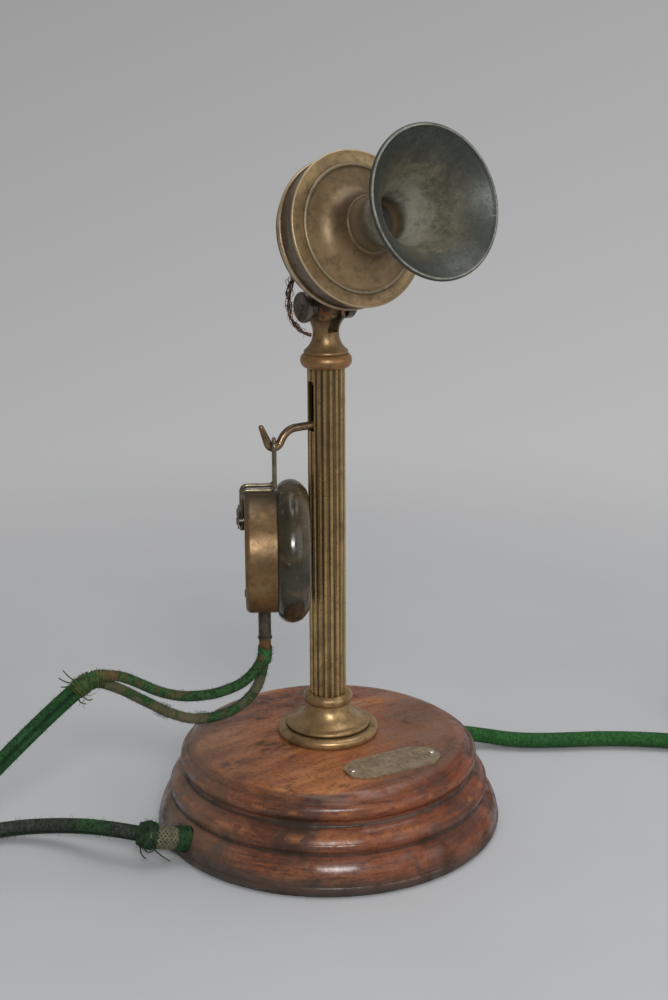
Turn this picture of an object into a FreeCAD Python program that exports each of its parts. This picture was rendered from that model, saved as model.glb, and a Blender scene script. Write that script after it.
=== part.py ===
"""Antique candlestick desk telephone: weighted base, fluted column, tilting transmitter head,
switch hook, hanging watch-case receiver and two cloth-covered cords.

Millimetres. The origin is the centre of the face that the base rests on, +Z is up, the
transmitter faces -Y and the hook points along -X.
"""
import FreeCAD, Part
import math
import os
import Sketcher
from FreeCAD import Placement, Rotation, Vector

doc = FreeCAD.newDocument("candlestick_telephone")
sheet = doc.addObject("Spreadsheet::Sheet", "sizes")

# Driving dimensions: name, value, meaning
SIZES = [
    ("base_radius", 76.0, "largest radius of the base"),
    ("base_height", 40.5, "top of the base under the flange"),
    ("crown_flat", 23.0, "radius of the level middle of the top"),
    ("crown_edge", 54.0, "radius where the sloping top rolls over"),
    ("crown_drop", 1.3, "slope of the top, middle to roll"),
    ("rim_height", 36.2, "groove outside the rolled top"),
    ("base_wall", 9.0, "thickness of the wooden base's roof"),
    ("wood_wall", 6.3, "wood between that groove and the cavity"),
    ("base_lift", 0.5, "turned edge above the table, which the felt takes up"),
    ("foot_height", 16.2, "top of the flared foot"),
    ("tier_height", 25.6, "top of the rounded middle tier"),
    ("foot_step", 6.6, "foot radius to groove under the middle tier"),
    ("tier_step", 5.7, "foot radius to middle tier"),
    ("shoulder_step", 10.6, "foot radius to the neck above the middle tier"),
    ("bead_step", 10.5, "foot radius to the half-round bead"),
    ("bead_depth", 1.3, "bead standing out of the neck"),
    ("bead_rise", 6.4, "height of the bead"),
    ("rim_step", 13.8, "foot radius to the groove outside the rolled top"),
    ("skirt_wall", 4.0, "wood outside the bottom plate"),
    ("felt_thick", 1.7, "felt under the base"),
    ("felt_inset", 1.0, "felt edge inside the base's opening"),
    ("plate_thick", 1.6, "bottom plate"),
    ("plate_fit", 0.3, "bottom plate clear of the base's edge"),
    ("plate_screw_radius", 1.6, "bottom plate screw shank"),
    ("plate_screw_head", 3.2, "bottom plate screw head radius"),
    ("plate_screw_length", 14.0, "bottom plate screw"),
    ("weight_radius", 44.0, "iron ballast ring, outside"),
    ("weight_bore", 24.0, "iron ballast ring, inside radius"),
    ("weight_thick", 12.0, "iron ballast ring"),
    ("thread_fit", 0.05, "radial clearance of screws in their holes"),
    ("block_length", 38.0, "terminal block"),
    ("block_width", 11.0, "terminal block"),
    ("block_thick", 7.0, "terminal block"),
    ("block_offset", 34.0, "terminal block behind the column axis"),
    ("terminal_pitch", 8.4, "spacing of the terminal screws"),
    ("terminal_radius", 1.5, "terminal screw shank"),
    ("terminal_head", 2.8, "terminal screw head radius"),
    ("name_plate_length", 44.2, "blank plate on the base"),
    ("name_plate_width", 17.8, "blank plate on the base"),
    ("name_plate_thick", 0.8, "blank plate on the base"),
    ("name_plate_shoulder", 11.0, "rounded shoulders of the blank plate, along it"),
    ("name_plate_end", 3.4, "half height of the blank plate's ends"),
    ("name_plate_x", 3.8, "blank plate centre"),
    ("name_plate_y", -42.2, "blank plate centre"),
    ("name_plate_turn", -5.6, "blank plate turned on the base, degrees"),
    ("plate_pin_radius", 0.8, "escutcheon pin shank"),
    ("plate_pin_head", 1.5, "escutcheon pin head radius"),
    ("plate_pin_inset", 2.6, "escutcheon pin from the plate's end"),
    ("plate_pin_length", 2.2, "escutcheon pin below the plate"),
    ("cord_hole_height", 9.6, "cord holes above the table"),
    ("side_bush_bore", 3.9, "receiver cord hole radius inside its bush"),
    ("side_bush_radius", 5.2, "receiver cord bush outside radius"),
    ("line_bush_bore", 4.0, "line cord hole radius inside its bush"),
    ("line_bush_radius", 5.2, "line cord bush outside radius"),
    ("bush_recess", 6.5, "bush face inside the foot's largest radius"),
    ("line_exit_turn", 16.0, "line cord hole from +X towards +Y, degrees"),
    ("flange_radius", 22.2, "column foot flange"),
    ("flange_bead", 4.2, "height of the flange's bottom bead"),
    ("flange_step_radius", 17.9, "second ring of the flange"),
    ("flange_step_rise", 2.0, "height of the second ring"),
    ("flange_neck_radius", 9.5, "top of the flange's bell"),
    ("flange_bell_rise", 8.2, "height of the flange's bell"),
    ("collar_radius", 10.9, "collar bead over the flange"),
    ("collar_rise", 4.8, "height of the collar bead"),
    ("column_radius", 7.94, "column, over its lands"),
    ("column_bore", 6.4, "inside radius of the column"),
    ("column_length", 164.3, "base top to column top"),
    ("column_fit", 0.05, "radial fit of what slides on or in the column"),
    ("flute_count", 18, "flutes round the column"),
    ("flute_radius", 1.0, "radius of one flute"),
    ("flute_depth", 0.55, "depth of one flute"),
    ("nut_flats", 24.0, "column nut across flats"),
    ("nut_thick", 6.0, "column nut"),
    ("washer_radius", 14.0, "column washer"),
    ("washer_thick", 1.5, "column washer"),
    ("column_tail", 3.0, "column end below its nut"),
    ("slot_width", 3.8, "hook slot"),
    ("slot_below", 2.6, "hook slot below the hook arm"),
    ("slot_above", 18.4, "hook slot above the hook arm"),
    ("yoke_plug", 7.4, "yoke plug inside the column"),
    ("yoke_bead_radius", 10.85, "yoke bead"),
    ("yoke_bead_rise", 5.6, "height of the yoke bead"),
    ("yoke_ring_radius", 9.3, "thin ring over the yoke bead"),
    ("yoke_ring_rise", 1.6, "height of the thin ring"),
    ("yoke_neck_radius", 5.5, "yoke neck"),
    ("yoke_neck_rise", 7.0, "thin ring to neck"),
    ("yoke_fork_radius", 8.2, "round of the fork"),
    ("yoke_fork_rise", 6.4, "neck to full fork"),
    ("yoke_flat", 7.0, "fork cheek flats from the axis"),
    ("fork_slot", 5.0, "gap between the fork cheeks"),
    ("fork_slot_depth", 10.8, "fork slot below the tilt pivot"),
    ("pivot_rise", 25.6, "tilt pivot above the column top"),
    ("pivot_radius", 2.0, "tilt pivot bolt shank"),
    ("pivot_fit", 0.05, "radial running fit on the pivots"),
    ("pivot_head_radius", 6.4, "tilt pivot bolt head"),
    ("pivot_head_face", 12.7, "outer face of the bolt head from the axis"),
    ("pivot_head_thick", 2.0, "tilt pivot bolt head"),
    ("pivot_spacer_radius", 4.6, "washers beside the fork"),
    ("pivot_washer_thick", 1.2, "washer under the pivot nut"),
    ("pivot_nut_radius", 6.4, "round pivot nut"),
    ("pivot_nut_thick", 3.4, "pivot nut"),
    ("pivot_tail", 0.9, "pivot bolt end past its nut"),
    ("hook_drop", 24.1, "hook arm below the column top"),
    ("hook_pivot_x", 0.6, "hook pivot from the column axis"),
    ("hook_wire", 1.7, "radius of the hook wire"),
    ("hook_reach", 26.4, "saddle from the column axis"),
    ("saddle_drop", 7.0, "saddle below the arm"),
    ("tip_reach", 6.1, "hook tip outside the saddle"),
    ("tip_rise", 9.3, "hook tip above the saddle"),
    ("hook_point", 1.1, "radius of the hook wire at its tip"),
    ("hook_hub", 2.0, "radius of the hook's hub"),
    ("hook_tail", 16.0, "length of the hook's tail"),
    ("hook_tail_thick", 1.4, "thickness of the hook's tail"),
    ("hook_tail_width", 3.0, "width of the hook's tail"),
    ("hook_pin_radius", 1.0, "hook pivot pin"),
    ("frame_below", 29.0, "switch frame below the hook pivot"),
    ("frame_above", 8.6, "switch frame above the hook pivot"),
    ("frame_width", 9.6, "switch frame across its cheeks"),
    ("frame_cheek", 1.2, "switch frame cheek thickness"),
    ("frame_front", -1.6, "front edge of the switch frame's cheeks"),
    ("frame_web", 2.9, "inner face of the switch frame's web"),
    ("frame_screw_radius", 1.2, "switch frame screw shank"),
    ("frame_screw_head", 1.9, "switch frame screw head radius"),
    ("frame_screw_thick", 0.5, "switch frame screw head"),
    ("leaf_thick", 0.3, "contact leaf"),
    ("leaf_width", 4.0, "contact leaf"),
    ("leaf_length", 19.0, "contact leaf"),
    ("leaf_gap", 0.7, "insulation between leaves"),
    ("stack_height", 6.0, "height of the insulated stack"),
    ("stack_screw_radius", 0.8, "screw through the stack"),
    ("button_thick", 0.35, "insulating button on the hook's tail"),
    ("button_radius", 1.5, "insulating button on the hook's tail"),
    ("head_tilt", 16.1, "transmitter axis above level, degrees"),
    ("head_forward", 24.2, "transmitter face ahead of the column axis"),
    ("head_above_pivot", 33.4, "transmitter face centre above the tilt pivot"),
    ("ridge_radius", 25.5, "thin ridge on the transmitter face"),
    ("ridge_width", 1.6, "thin ridge on the transmitter face"),
    ("boss_radius", 11.1, "boss round the mouthpiece"),
    ("boss_rise", 8.5, "boss in front of the ridge"),
    ("face_rim", 27.3, "outer radius of the face plate"),
    ("face_floor", 1.0, "dish of the face behind the ridge"),
    ("face_back", 4.6, "back of the face plate's rim"),
    ("face_seat", 22.3, "recess for the diaphragm"),
    ("bezel_radius", 31.5, "transmitter bezel"),
    ("bezel_depth", 5.6, "length of the bezel's side"),
    ("bezel_edge", 0.5, "round of the bezel's front edge"),
    ("bezel_crown", 0.25, "crown of the bezel's front"),
    ("bezel_draft", 0.9, "how far the bezel's side draws in towards its back"),
    ("bezel_fit", 0.1, "bezel round the cup and the face plate"),
    ("cup_radius", 29.6, "transmitter cup"),
    ("cup_wall", 1.4, "transmitter cup wall"),
    ("cup_rim_radius", 30.8, "bead round the back of the cup"),
    ("cup_rim_back", 12.3, "bead behind the ridge"),
    ("cup_back", 19.2, "flat back behind the ridge"),
    ("cup_back_radius", 24.5, "flat back"),
    ("cup_ledge", 26.3, "ledge in the cup behind the face plate"),
    ("mouth_rim_radius", 29.6, "mouthpiece rim"),
    ("mouth_length", 50.0, "mouthpiece rim in front of the ridge"),
    ("mouth_wall", 1.5, "mouthpiece wall"),
    ("mouth_stem", 9.5, "mouthpiece stem radius"),
    ("mouth_throat", 7.6, "mouthpiece throat radius"),
    ("mouth_neck", 10.2, "mouthpiece neck radius"),
    ("grille_thick", 0.8, "perforated disc in the throat"),
    ("grille_hole", 0.9, "radius of its holes"),
    ("grille_circle", 4.6, "radius of its ring of holes"),
    ("grille_count", 6, "holes in its ring"),
    ("diaphragm_thick", 0.4, "transmitter diaphragm"),
    ("gasket_thick", 0.4, "transmitter gasket"),
    ("gasket_width", 2.2, "transmitter gasket"),
    ("carbon_radius", 9.5, "carbon button"),
    ("bridge_thick", 2.2, "bridge behind the carbon button"),
    ("bridge_width", 9.0, "bridge"),
    ("bridge_reach", 25.4, "half length of the bridge"),
    ("bridge_leg", 3.0, "bridge leg"),
    ("bridge_back", 16.2, "bridge back behind the ridge"),
    ("bridge_screw_radius", 0.9, "bridge screw shank"),
    ("bridge_screw_head", 1.7, "bridge screw head radius"),
    ("damper_thick", 0.4, "damping spring"),
    ("damper_width", 4.0, "damping spring"),
    ("damper_tip", 14.0, "damping spring pad from the transmitter axis"),
    ("lug_thick", 4.6, "tongue between the fork cheeks"),
    ("lug_eye", 6.5, "eye of the tongue"),
    ("lug_foot_width", 18.0, "foot of the tongue on the cup's back"),
    ("lug_foot_low", 22.0, "foot of the tongue below the transmitter axis"),
    ("lug_foot_high", 2.0, "foot of the tongue above the transmitter axis"),
    ("lug_foot_thick", 2.2, "foot of the tongue"),
    ("lug_screw_radius", 1.2, "lug screw shank"),
    ("lug_screw_head", 2.3, "lug screw head radius"),
    ("lug_screw_x", 6.0, "lug screws beside the tongue"),
    ("lug_screw_low", 6.0, "lug screws below the transmitter axis"),
    ("lead_radius", 0.8, "bare stranded lead"),
    ("receiver_turn", 32.0, "receiver axis turned from +X towards -Y, degrees"),
    ("receiver_drop", 44.7, "receiver centre below the saddle"),
    ("case_radius", 25.75, "receiver case"),
    ("case_back", 12.75, "case back from the bail plane"),
    ("case_front", 0.45, "joint of case and ear cap from the bail plane"),
    ("case_wall", 1.5, "receiver case wall"),
    ("case_round", 2.4, "rounded back edge of the case"),
    ("cap_radius", 30.2, "ear cap"),
    ("cap_thick", 13.6, "ear cap"),
    ("cap_crest", 22.6, "radius of the ear cap's crest"),
    ("cap_hole", 4.6, "sound hole in the ear cap"),
    ("cap_dish", 6.4, "depth of the ear cap's dish"),
    ("cap_thread", 3.0, "case thread inside the ear cap"),
    ("cap_fit", 0.1, "ear cap on the case thread"),
    ("ear_diaphragm_thick", 0.4, "receiver diaphragm"),
    ("magnet_outer", 20.0, "receiver magnet"),
    ("magnet_inner", 14.0, "receiver magnet"),
    ("magnet_thick", 3.6, "receiver magnet"),
    ("magnet_gap", 18.0, "gap in the receiver magnet"),
    ("pole_width", 4.0, "pole pieces"),
    ("pole_depth", 2.4, "pole pieces"),
    ("pole_spacing", 6.0, "pole pieces from the receiver axis"),
    ("pole_air", 0.5, "pole pieces behind the diaphragm"),
    ("bobbin_flange", 1.6, "winding round each pole"),
    ("bail_wire", 0.95, "radius of the bail wire"),
    ("bail_half", 3.9, "half width of the bail"),
    ("bail_bend", 2.4, "bends of the bail"),
    ("bail_lap", 15.0, "bail legs down the case back"),
    ("bail_clear", 0.9, "bail over the case"),
    ("bail_rest", 0.5, "bail over the hook wire"),
    ("clamp_thick", 0.7, "plate over the bail legs"),
    ("clamp_width", 15.6, "plate over the bail legs"),
    ("clamp_height", 6.0, "plate over the bail legs"),
    ("clamp_screw", 1.0, "bail clamp screw shank"),
    ("clamp_screw_head", 1.7, "bail clamp screw head radius"),
    ("clamp_screw_rise", 0.5, "bail clamp screw head"),
    ("back_screw_drop", 18.5, "magnet screw below the receiver axis"),
    ("ferrule_radius", 2.7, "cord ferrule"),
    ("ferrule_bore", 2.1, "cord ferrule bore"),
    ("ferrule_length", 13.0, "cord ferrule below the case"),
    ("ferrule_back", 5.05, "cord ferrule behind the bail plane"),
    ("binding_length", 5.0, "thread binding under the ferrule"),
    ("branch_radius", 2.2, "branch of the receiver cord"),
    ("receiver_cord_radius", 3.6, "joined receiver cord"),
    ("line_cord_radius", 3.7, "line cord"),
    ("tie_thick", 0.9, "thread tie over a cord"),
    ("tie_length", 5.0, "thread tie along a cord"),
    ("cord_sleeve_thick", 1.0, "braided sleeve on the receiver cord at the base"),
    ("cord_sleeve_length", 5.6, "braided sleeve on the receiver cord at the base"),
    ("cord_lift", 0.9, "line cord coil above the table, held by its tie"),
    ("coil_pitch", 9.0, "turn to turn in the coil"),
    ("coil_layer", 8.2, "layer to layer in the coil"),
    ("coil_inner", 24.0, "inner radius of the coil"),
    ("coil_out", 174.0, "middle of the coil beyond the base's edge"),
    ("coil_y", -50.0, "middle of the coil from the base's middle"),
    ("coil_start_turn", 221.0, "angle where the cord joins the coil, degrees"),
    ("coil_turns_in", 3.0, "turns of the lower layer"),
    ("coil_turns_out", 2.386, "turns of the upper layer"),
    ("coil_tie_width", 7.0, "tape round the coil"),
    ("coil_tie_thick", 0.8, "tape round the coil"),
    ("end_ferrule_length", 6.0, "sleeve at the line cord's end"),
    ("end_ferrule_wall", 0.7, "sleeve at the line cord's end"),
    ("tip_wire", 1.1, "radius of a conductor at the line cord's end"),
    ("tip_length", 15.0, "length of a conductor at the line cord's end"),
    ("spade_length", 7.0, "spade terminal"),
    ("spade_width", 5.0, "spade terminal"),
    ("spade_thick", 0.9, "spade terminal"),
    ("spade_slot", 2.0, "slot of a spade terminal"),
]


class Size:
    """A size from the sheet, or sums and products of sizes, as a number and as an expression."""

    def __init__(self, value, text):
        self.value = value
        self.text = text

    def __add__(self, other):
        other = as_size(other)
        return Size(self.value + other.value, f"({self.text} + {other.text})")

    def __sub__(self, other):
        other = as_size(other)
        return Size(self.value - other.value, f"({self.text} - {other.text})")

    def __mul__(self, other):
        other = as_size(other)
        return Size(self.value * other.value, f"({self.text} * {other.text})")

    def __truediv__(self, other):
        other = as_size(other)
        return Size(self.value / other.value, f"({self.text} / {other.text})")

    def __rsub__(self, other):
        return as_size(other) - self

    def __neg__(self):
        return Size(-self.value, f"(0 - {self.text})")

    __radd__ = __add__
    __rmul__ = __mul__


def as_size(number):
    if isinstance(number, Size):
        return number
    return Size(float(number), f"({float(number)})")


class Sizes:
    """The sheet's rows, by name."""


dim = Sizes()
for row, (name, value, meaning) in enumerate(SIZES, start=1):
    sheet.set(f"A{row}", name)
    sheet.set(f"B{row}", str(value))
    sheet.set(f"C{row}", meaning)
    sheet.setAlias(f"B{row}", name)
    setattr(dim, name, Size(float(value), f"sizes.{name}"))
doc.recompute()

nodes = []
X_AXIS = Rotation(Vector(0, 1, 0), 90)
Y_AXIS = Rotation(Vector(1, 0, 0), -90)
Z_AXIS = Rotation()


def node(shape, label, frame=None):
    """Keep an object as a sub-part under its own label, moved as a whole by its frame."""
    shape.Label = label
    if frame is not None:
        shape.Placement = frame.multiply(shape.Placement)
    nodes.append(shape)
    return shape


def spot(x, y, z):
    return Vector(as_size(x).value, as_size(y).value, as_size(z).value)


def bind(shape, **sizes):
    for name, size in sizes.items():
        shape.setExpression(name, as_size(size).text)


def cylinder(name, radius, height, x=0, y=0, z=0, axis=Z_AXIS):
    shape = doc.addObject("Part::Cylinder", name)
    bind(shape, Radius=radius, Height=height)
    shape.Placement = Placement(spot(x, y, z), axis)
    return shape


def box(name, length, width, height, x, y, z):
    """A box by its sizes and its lowest corner."""
    shape = doc.addObject("Part::Box", name)
    bind(shape, Length=length, Width=width, Height=height)
    shape.Placement = Placement(spot(x, y, z), Rotation())
    return shape


def hexagon(name, flats, height, x=0, y=0, z=0, axis=Z_AXIS):
    shape = doc.addObject("Part::Prism", name)
    shape.Polygon = 6
    bind(shape, Circumradius=flats / math.sqrt(3), Height=height)
    shape.Placement = Placement(spot(x, y, z), axis)
    return shape


def fuse(name, shapes):
    joined = doc.addObject("Part::MultiFuse", name)
    joined.Shapes = shapes
    return joined


def cut(name, base, tools):
    result = doc.addObject("Part::Cut", name)
    result.Base = base
    result.Tool = tools[0] if len(tools) == 1 else fuse(name + "_tools", tools)
    return result


def common(name, shapes):
    shared = doc.addObject("Part::MultiCommon", name)
    shared.Shapes = shapes
    return shared


def group(name, shapes):
    together = doc.addObject("Part::Compound", name)
    together.Links = shapes
    return together


def origin_plane(body, role):
    for feature in body.Origin.OriginFeatures:
        if feature.Role == role:
            return feature


def closed_sketch(body, name, role, outline):
    """A closed outline of corners (x, y), with (x, y, "via") on the arcs, each bound to the sheet."""
    sketch = body.newObject("Sketcher::SketchObject", name)
    sketch.AttachmentSupport = [(origin_plane(body, role), "")]
    sketch.MapMode = "FlatFace"
    corners = [point for point in outline if len(point) == 2]
    arc_points = {}
    corner_index = -1
    for point in outline:
        if len(point) == 2:
            corner_index += 1
        else:
            arc_points[corner_index] = point
    rules = []
    bindings = []

    def hold(geometry, position, point):
        for kind, axis_line, size in (("DistanceX", -2, point[0]), ("DistanceY", -1, point[1])):
            size = as_size(size)
            if size.value == 0:
                rules.append(Sketcher.Constraint("PointOnObject", geometry, position, axis_line))
            else:
                bindings.append((len(rules), size.text))
                rules.append(Sketcher.Constraint(kind, -1, 1, geometry, position, size.value))

    ends = []
    for index, corner in enumerate(corners):
        start = spot(corner[0], corner[1], 0)
        following = corners[(index + 1) % len(corners)]
        finish = spot(following[0], following[1], 0)
        if index not in arc_points:
            geometry = sketch.addGeometry(Part.LineSegment(start, finish), False)
            ends.append((geometry, 1, 2))
            continue
        via = spot(arc_points[index][0], arc_points[index][1], 0)
        turns_left = (via - start).cross(finish - via).z > 0
        if turns_left:
            geometry = sketch.addGeometry(Part.Arc(start, via, finish), False)
            ends.append((geometry, 1, 2))
        else:
            geometry = sketch.addGeometry(Part.Arc(finish, via, start), False)
            ends.append((geometry, 2, 1))
        marker = sketch.addGeometry(Part.Point(via), True)
        hold(marker, 1, arc_points[index])
        rules.append(Sketcher.Constraint("PointOnObject", marker, 1, geometry))
    for index, corner in enumerate(corners):
        geometry, start, finish = ends[index]
        next_geometry, next_start, next_finish = ends[(index + 1) % len(corners)]
        hold(geometry, start, corner)
        rules.append(Sketcher.Constraint("Coincident", geometry, finish, next_geometry, next_start))
    sketch.addConstraint(rules)
    for index, text in bindings:
        sketch.setExpression(f"Constraints[{index}]", text)
    return sketch


def turned(label, outline):
    """A piece turned about its own Z axis from an outline of (radius, height) corners."""
    body = doc.addObject("PartDesign::Body", label)
    sketch = closed_sketch(body, label + "_outline", "XZ_Plane", outline)
    turn = body.newObject("PartDesign::Revolution", label + "_turn")
    turn.Profile = sketch
    turn.ReferenceAxis = (sketch, ["V_Axis"])
    turn.Angle = 360.0
    return body


def padded(label, role, outline, thickness):
    """A flat piece padded from an outline on one of its origin planes."""
    body = doc.addObject("PartDesign::Body", label)
    sketch = closed_sketch(body, label + "_outline", role, outline)
    pad = body.newObject("PartDesign::Pad", label + "_pad")
    pad.Profile = sketch
    bind(pad, Length=thickness)
    return body


def screw(label, head_radius, head_thick, shank_radius, length, place):
    """A round-headed screw: the head's seat is at z = 0 and the shank runs down."""
    body = turned(label, [
        (0, head_thick),
        (head_radius * 0.6, head_thick),
        (head_radius * 0.92, head_thick * 0.8, "via"),
        (head_radius, 0),
        (shank_radius, 0),
        (shank_radius, -length),
        (0, -length),
    ])
    body.Placement = place
    return body


def facing(x, y, z, direction):
    """A placement that turns +Z to a direction."""
    return Placement(spot(x, y, z), Rotation(Vector(0, 0, 1), direction))


def polar(radius, degrees):
    angle = math.radians(degrees)
    return as_size(radius).value * math.cos(angle), as_size(radius).value * math.sin(angle)


# Base: a hollow turned foot with a ballast ring, closed by a screwed plate and felt
tier_radius = dim.base_radius - dim.tier_step
groove_radius = dim.base_radius - dim.foot_step
neck_radius = dim.base_radius - dim.shoulder_step - dim.bead_depth
bead_radius = dim.base_radius - dim.bead_step
rim_radius = dim.base_radius - dim.rim_step
bead_base = dim.tier_height + 3.0
bead_top = bead_base + dim.bead_rise
plate_top = dim.felt_thick + dim.plate_thick
opening_radius = dim.base_radius - 1.0 - dim.skirt_wall
cavity_radius = rim_radius - dim.wood_wall
roof_under = dim.base_height - dim.base_wall
plate_screw_circle = (opening_radius + cavity_radius) / 2
PLATE_SCREW_ANGLES = (75.0, 195.0, 315.0)

shell = turned("base_shell", [
    (dim.base_radius - 1.0, dim.base_lift),
    (dim.base_radius, dim.base_lift + 1.8, "via"),
    (dim.base_radius - 0.5, dim.base_lift + 4.2),
    (dim.base_radius - 2.4, dim.foot_height - 4.9, "via"),
    (groove_radius, dim.foot_height),
    (groove_radius, dim.foot_height + 0.6),
    (tier_radius + 0.2, dim.foot_height + 2.6, "via"),
    (tier_radius - 0.6, dim.foot_height + 5.0),
    (tier_radius - 2.4, dim.tier_height - 1.9, "via"),
    (neck_radius + 1.0, dim.tier_height),
    (neck_radius, dim.tier_height + 1.2, "via"),
    (neck_radius, bead_base),
    (bead_radius, bead_base + dim.bead_rise / 2, "via"),
    (neck_radius, bead_top),
    (rim_radius + 0.6, dim.rim_height - 0.8),
    (rim_radius, dim.rim_height),
    (rim_radius - 2.9, dim.base_height - dim.crown_drop - 1.0, "via"),
    (dim.crown_edge, dim.base_height - dim.crown_drop),
    (dim.crown_flat, dim.base_height),
    (dim.column_radius + dim.column_fit, dim.base_height),
    (dim.column_radius + dim.column_fit, roof_under),
    (cavity_radius, roof_under),
    (cavity_radius, plate_top),
    (opening_radius, plate_top),
    (opening_radius, dim.base_lift),
])
base_holes = []
plate_holes = []
plate_screws = []
sink = dim.plate_screw_head - dim.plate_screw_radius
for number, angle in enumerate(PLATE_SCREW_ANGLES):
    x, y = polar(plate_screw_circle, angle)
    hole = dim.plate_screw_radius + dim.thread_fit
    base_holes.append(cylinder(
        f"wood_hole_{number}", hole, dim.plate_screw_length + 0.5, x, y, dim.felt_thick,
    ))
    plate_holes.append(turned(f"plate_hole_{number}", [
        (0, 0),
        (hole + sink, 0),
        (hole, dim.plate_thick),
        (hole, dim.plate_thick + 1.0),
        (0, dim.plate_thick + 1.0),
    ]))
    plate_holes[-1].Placement = Placement(spot(x, y, dim.felt_thick), Rotation())
    fastener = turned(f"plate_screw_{number}", [
        (0, 0),
        (dim.plate_screw_head, 0),
        (dim.plate_screw_radius, dim.plate_thick),
        (dim.plate_screw_radius, dim.plate_screw_length),
        (0, dim.plate_screw_length),
    ])
    fastener.Placement = Placement(spot(x, y, dim.felt_thick), Rotation())
    plate_screws.append(fastener)

side_way = Rotation(Vector(0, 0, 1), Vector(-1, 0, 0))
line_out = Vector(*polar(1.0, dim.line_exit_turn.value), 0)
line_way = Rotation(Vector(0, 0, 1), line_out)
bush_seat = cavity_radius + 0.5
bush_face = dim.base_radius - dim.bush_recess
cord_entry = dim.base_radius - 4.0
plate_spot = math.hypot(dim.name_plate_x.value, dim.name_plate_y.value)
top_slope = dim.crown_drop / (dim.crown_edge - dim.crown_flat)
plate_seat_height = dim.base_height - top_slope * (plate_spot - dim.crown_flat)
plate_across = Vector(-dim.name_plate_y.value, dim.name_plate_x.value, 0)
plate_tilt = Rotation(plate_across, math.degrees(math.atan(top_slope.value)))
plate_frame = Placement(
    spot(dim.name_plate_x, dim.name_plate_y, plate_seat_height),
    plate_tilt.multiply(Rotation(Vector(0, 0, 1), dim.name_plate_turn.value)),
)
pin_reach = dim.name_plate_length / 2 - dim.plate_pin_inset
for number, side in enumerate((-1, 1)):
    hole = cylinder(
        f"pin_hole_{number}", dim.plate_pin_radius + dim.thread_fit, dim.plate_pin_length + 1.0,
        side * pin_reach, 0, -dim.plate_pin_length,
    )
    hole.Placement = plate_frame.multiply(hole.Placement)
    base_holes.append(hole)
for name, radius, way in (
    ("side_hole", dim.side_bush_radius, side_way),
    ("line_hole", dim.line_bush_radius, line_way),
):
    start = way.multVec(Vector(0, 0, (cavity_radius - 4.0).value))
    base_holes.append(cylinder(
        name, radius + dim.column_fit, 30, start.x, start.y, dim.cord_hole_height, way,
    ))
node(cut("base_body", shell, base_holes), "base_turning")

node(cut("plate_body", cylinder(
    "plate_disc", opening_radius - dim.plate_fit, dim.plate_thick, 0, 0, dim.felt_thick,
), plate_holes), "base_plate")
node(cylinder("felt_disc", opening_radius - dim.felt_inset, dim.felt_thick), "base_felt")
node(group("plate_screw_group", plate_screws), "base_plate_screws")


def bush(name, bore, radius, way):
    """A turned bush, set back inside a cord hole."""
    body = turned(name, [
        (bore, bush_seat),
        (radius, bush_seat),
        (radius, bush_face),
        (bore + 0.6, bush_face),
        (bore, bush_face - 0.6),
    ])
    body.Placement = Placement(spot(0, 0, dim.cord_hole_height), way)
    return body


node(group("bush_group", [
    bush("side_bush", dim.side_bush_bore, dim.side_bush_radius, side_way),
    bush("line_bush", dim.line_bush_bore, dim.line_bush_radius, line_way),
]), "cord_bushes")

weight_top = plate_top + dim.weight_thick
terminal_screws = []
weight_holes = []
block_holes = []
for number in range(-2, 3):
    x = number * dim.terminal_pitch
    outer = abs(number) == 2
    depth = dim.block_thick + 5.0 if outer else dim.block_thick - 2.0
    place = facing(x, dim.block_offset, weight_top + dim.block_thick, Vector(0, 0, 1))
    fastener = screw(
        f"terminal_{number + 2}", dim.terminal_head, 1.6, dim.terminal_radius, depth, place,
    )
    terminal_screws.append(fastener)
    hole = dim.terminal_radius + dim.thread_fit
    block_holes.append(cylinder(
        f"block_hole_{number + 2}", hole, depth + 0.5, x, dim.block_offset,
        weight_top + dim.block_thick - depth - 0.2,
    ))
    if outer:
        weight_holes.append(cylinder(
            f"weight_hole_{number + 2}", hole, 6.0, x, dim.block_offset, weight_top - 5.5,
        ))
weight_ring = cut("weight_ring", cylinder(
    "weight_disc", dim.weight_radius, dim.weight_thick, 0, 0, plate_top,
), [cylinder("weight_middle", dim.weight_bore, dim.weight_thick, 0, 0, plate_top)] + weight_holes)
node(weight_ring, "base_weight")
node(cut("block_body", box(
    "block_box", dim.block_length, dim.block_width, dim.block_thick,
    -dim.block_length / 2, dim.block_offset - dim.block_width / 2, weight_top,
), block_holes), "terminal_block")
node(group("terminal_screw_group", terminal_screws), "terminal_screws")

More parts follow.
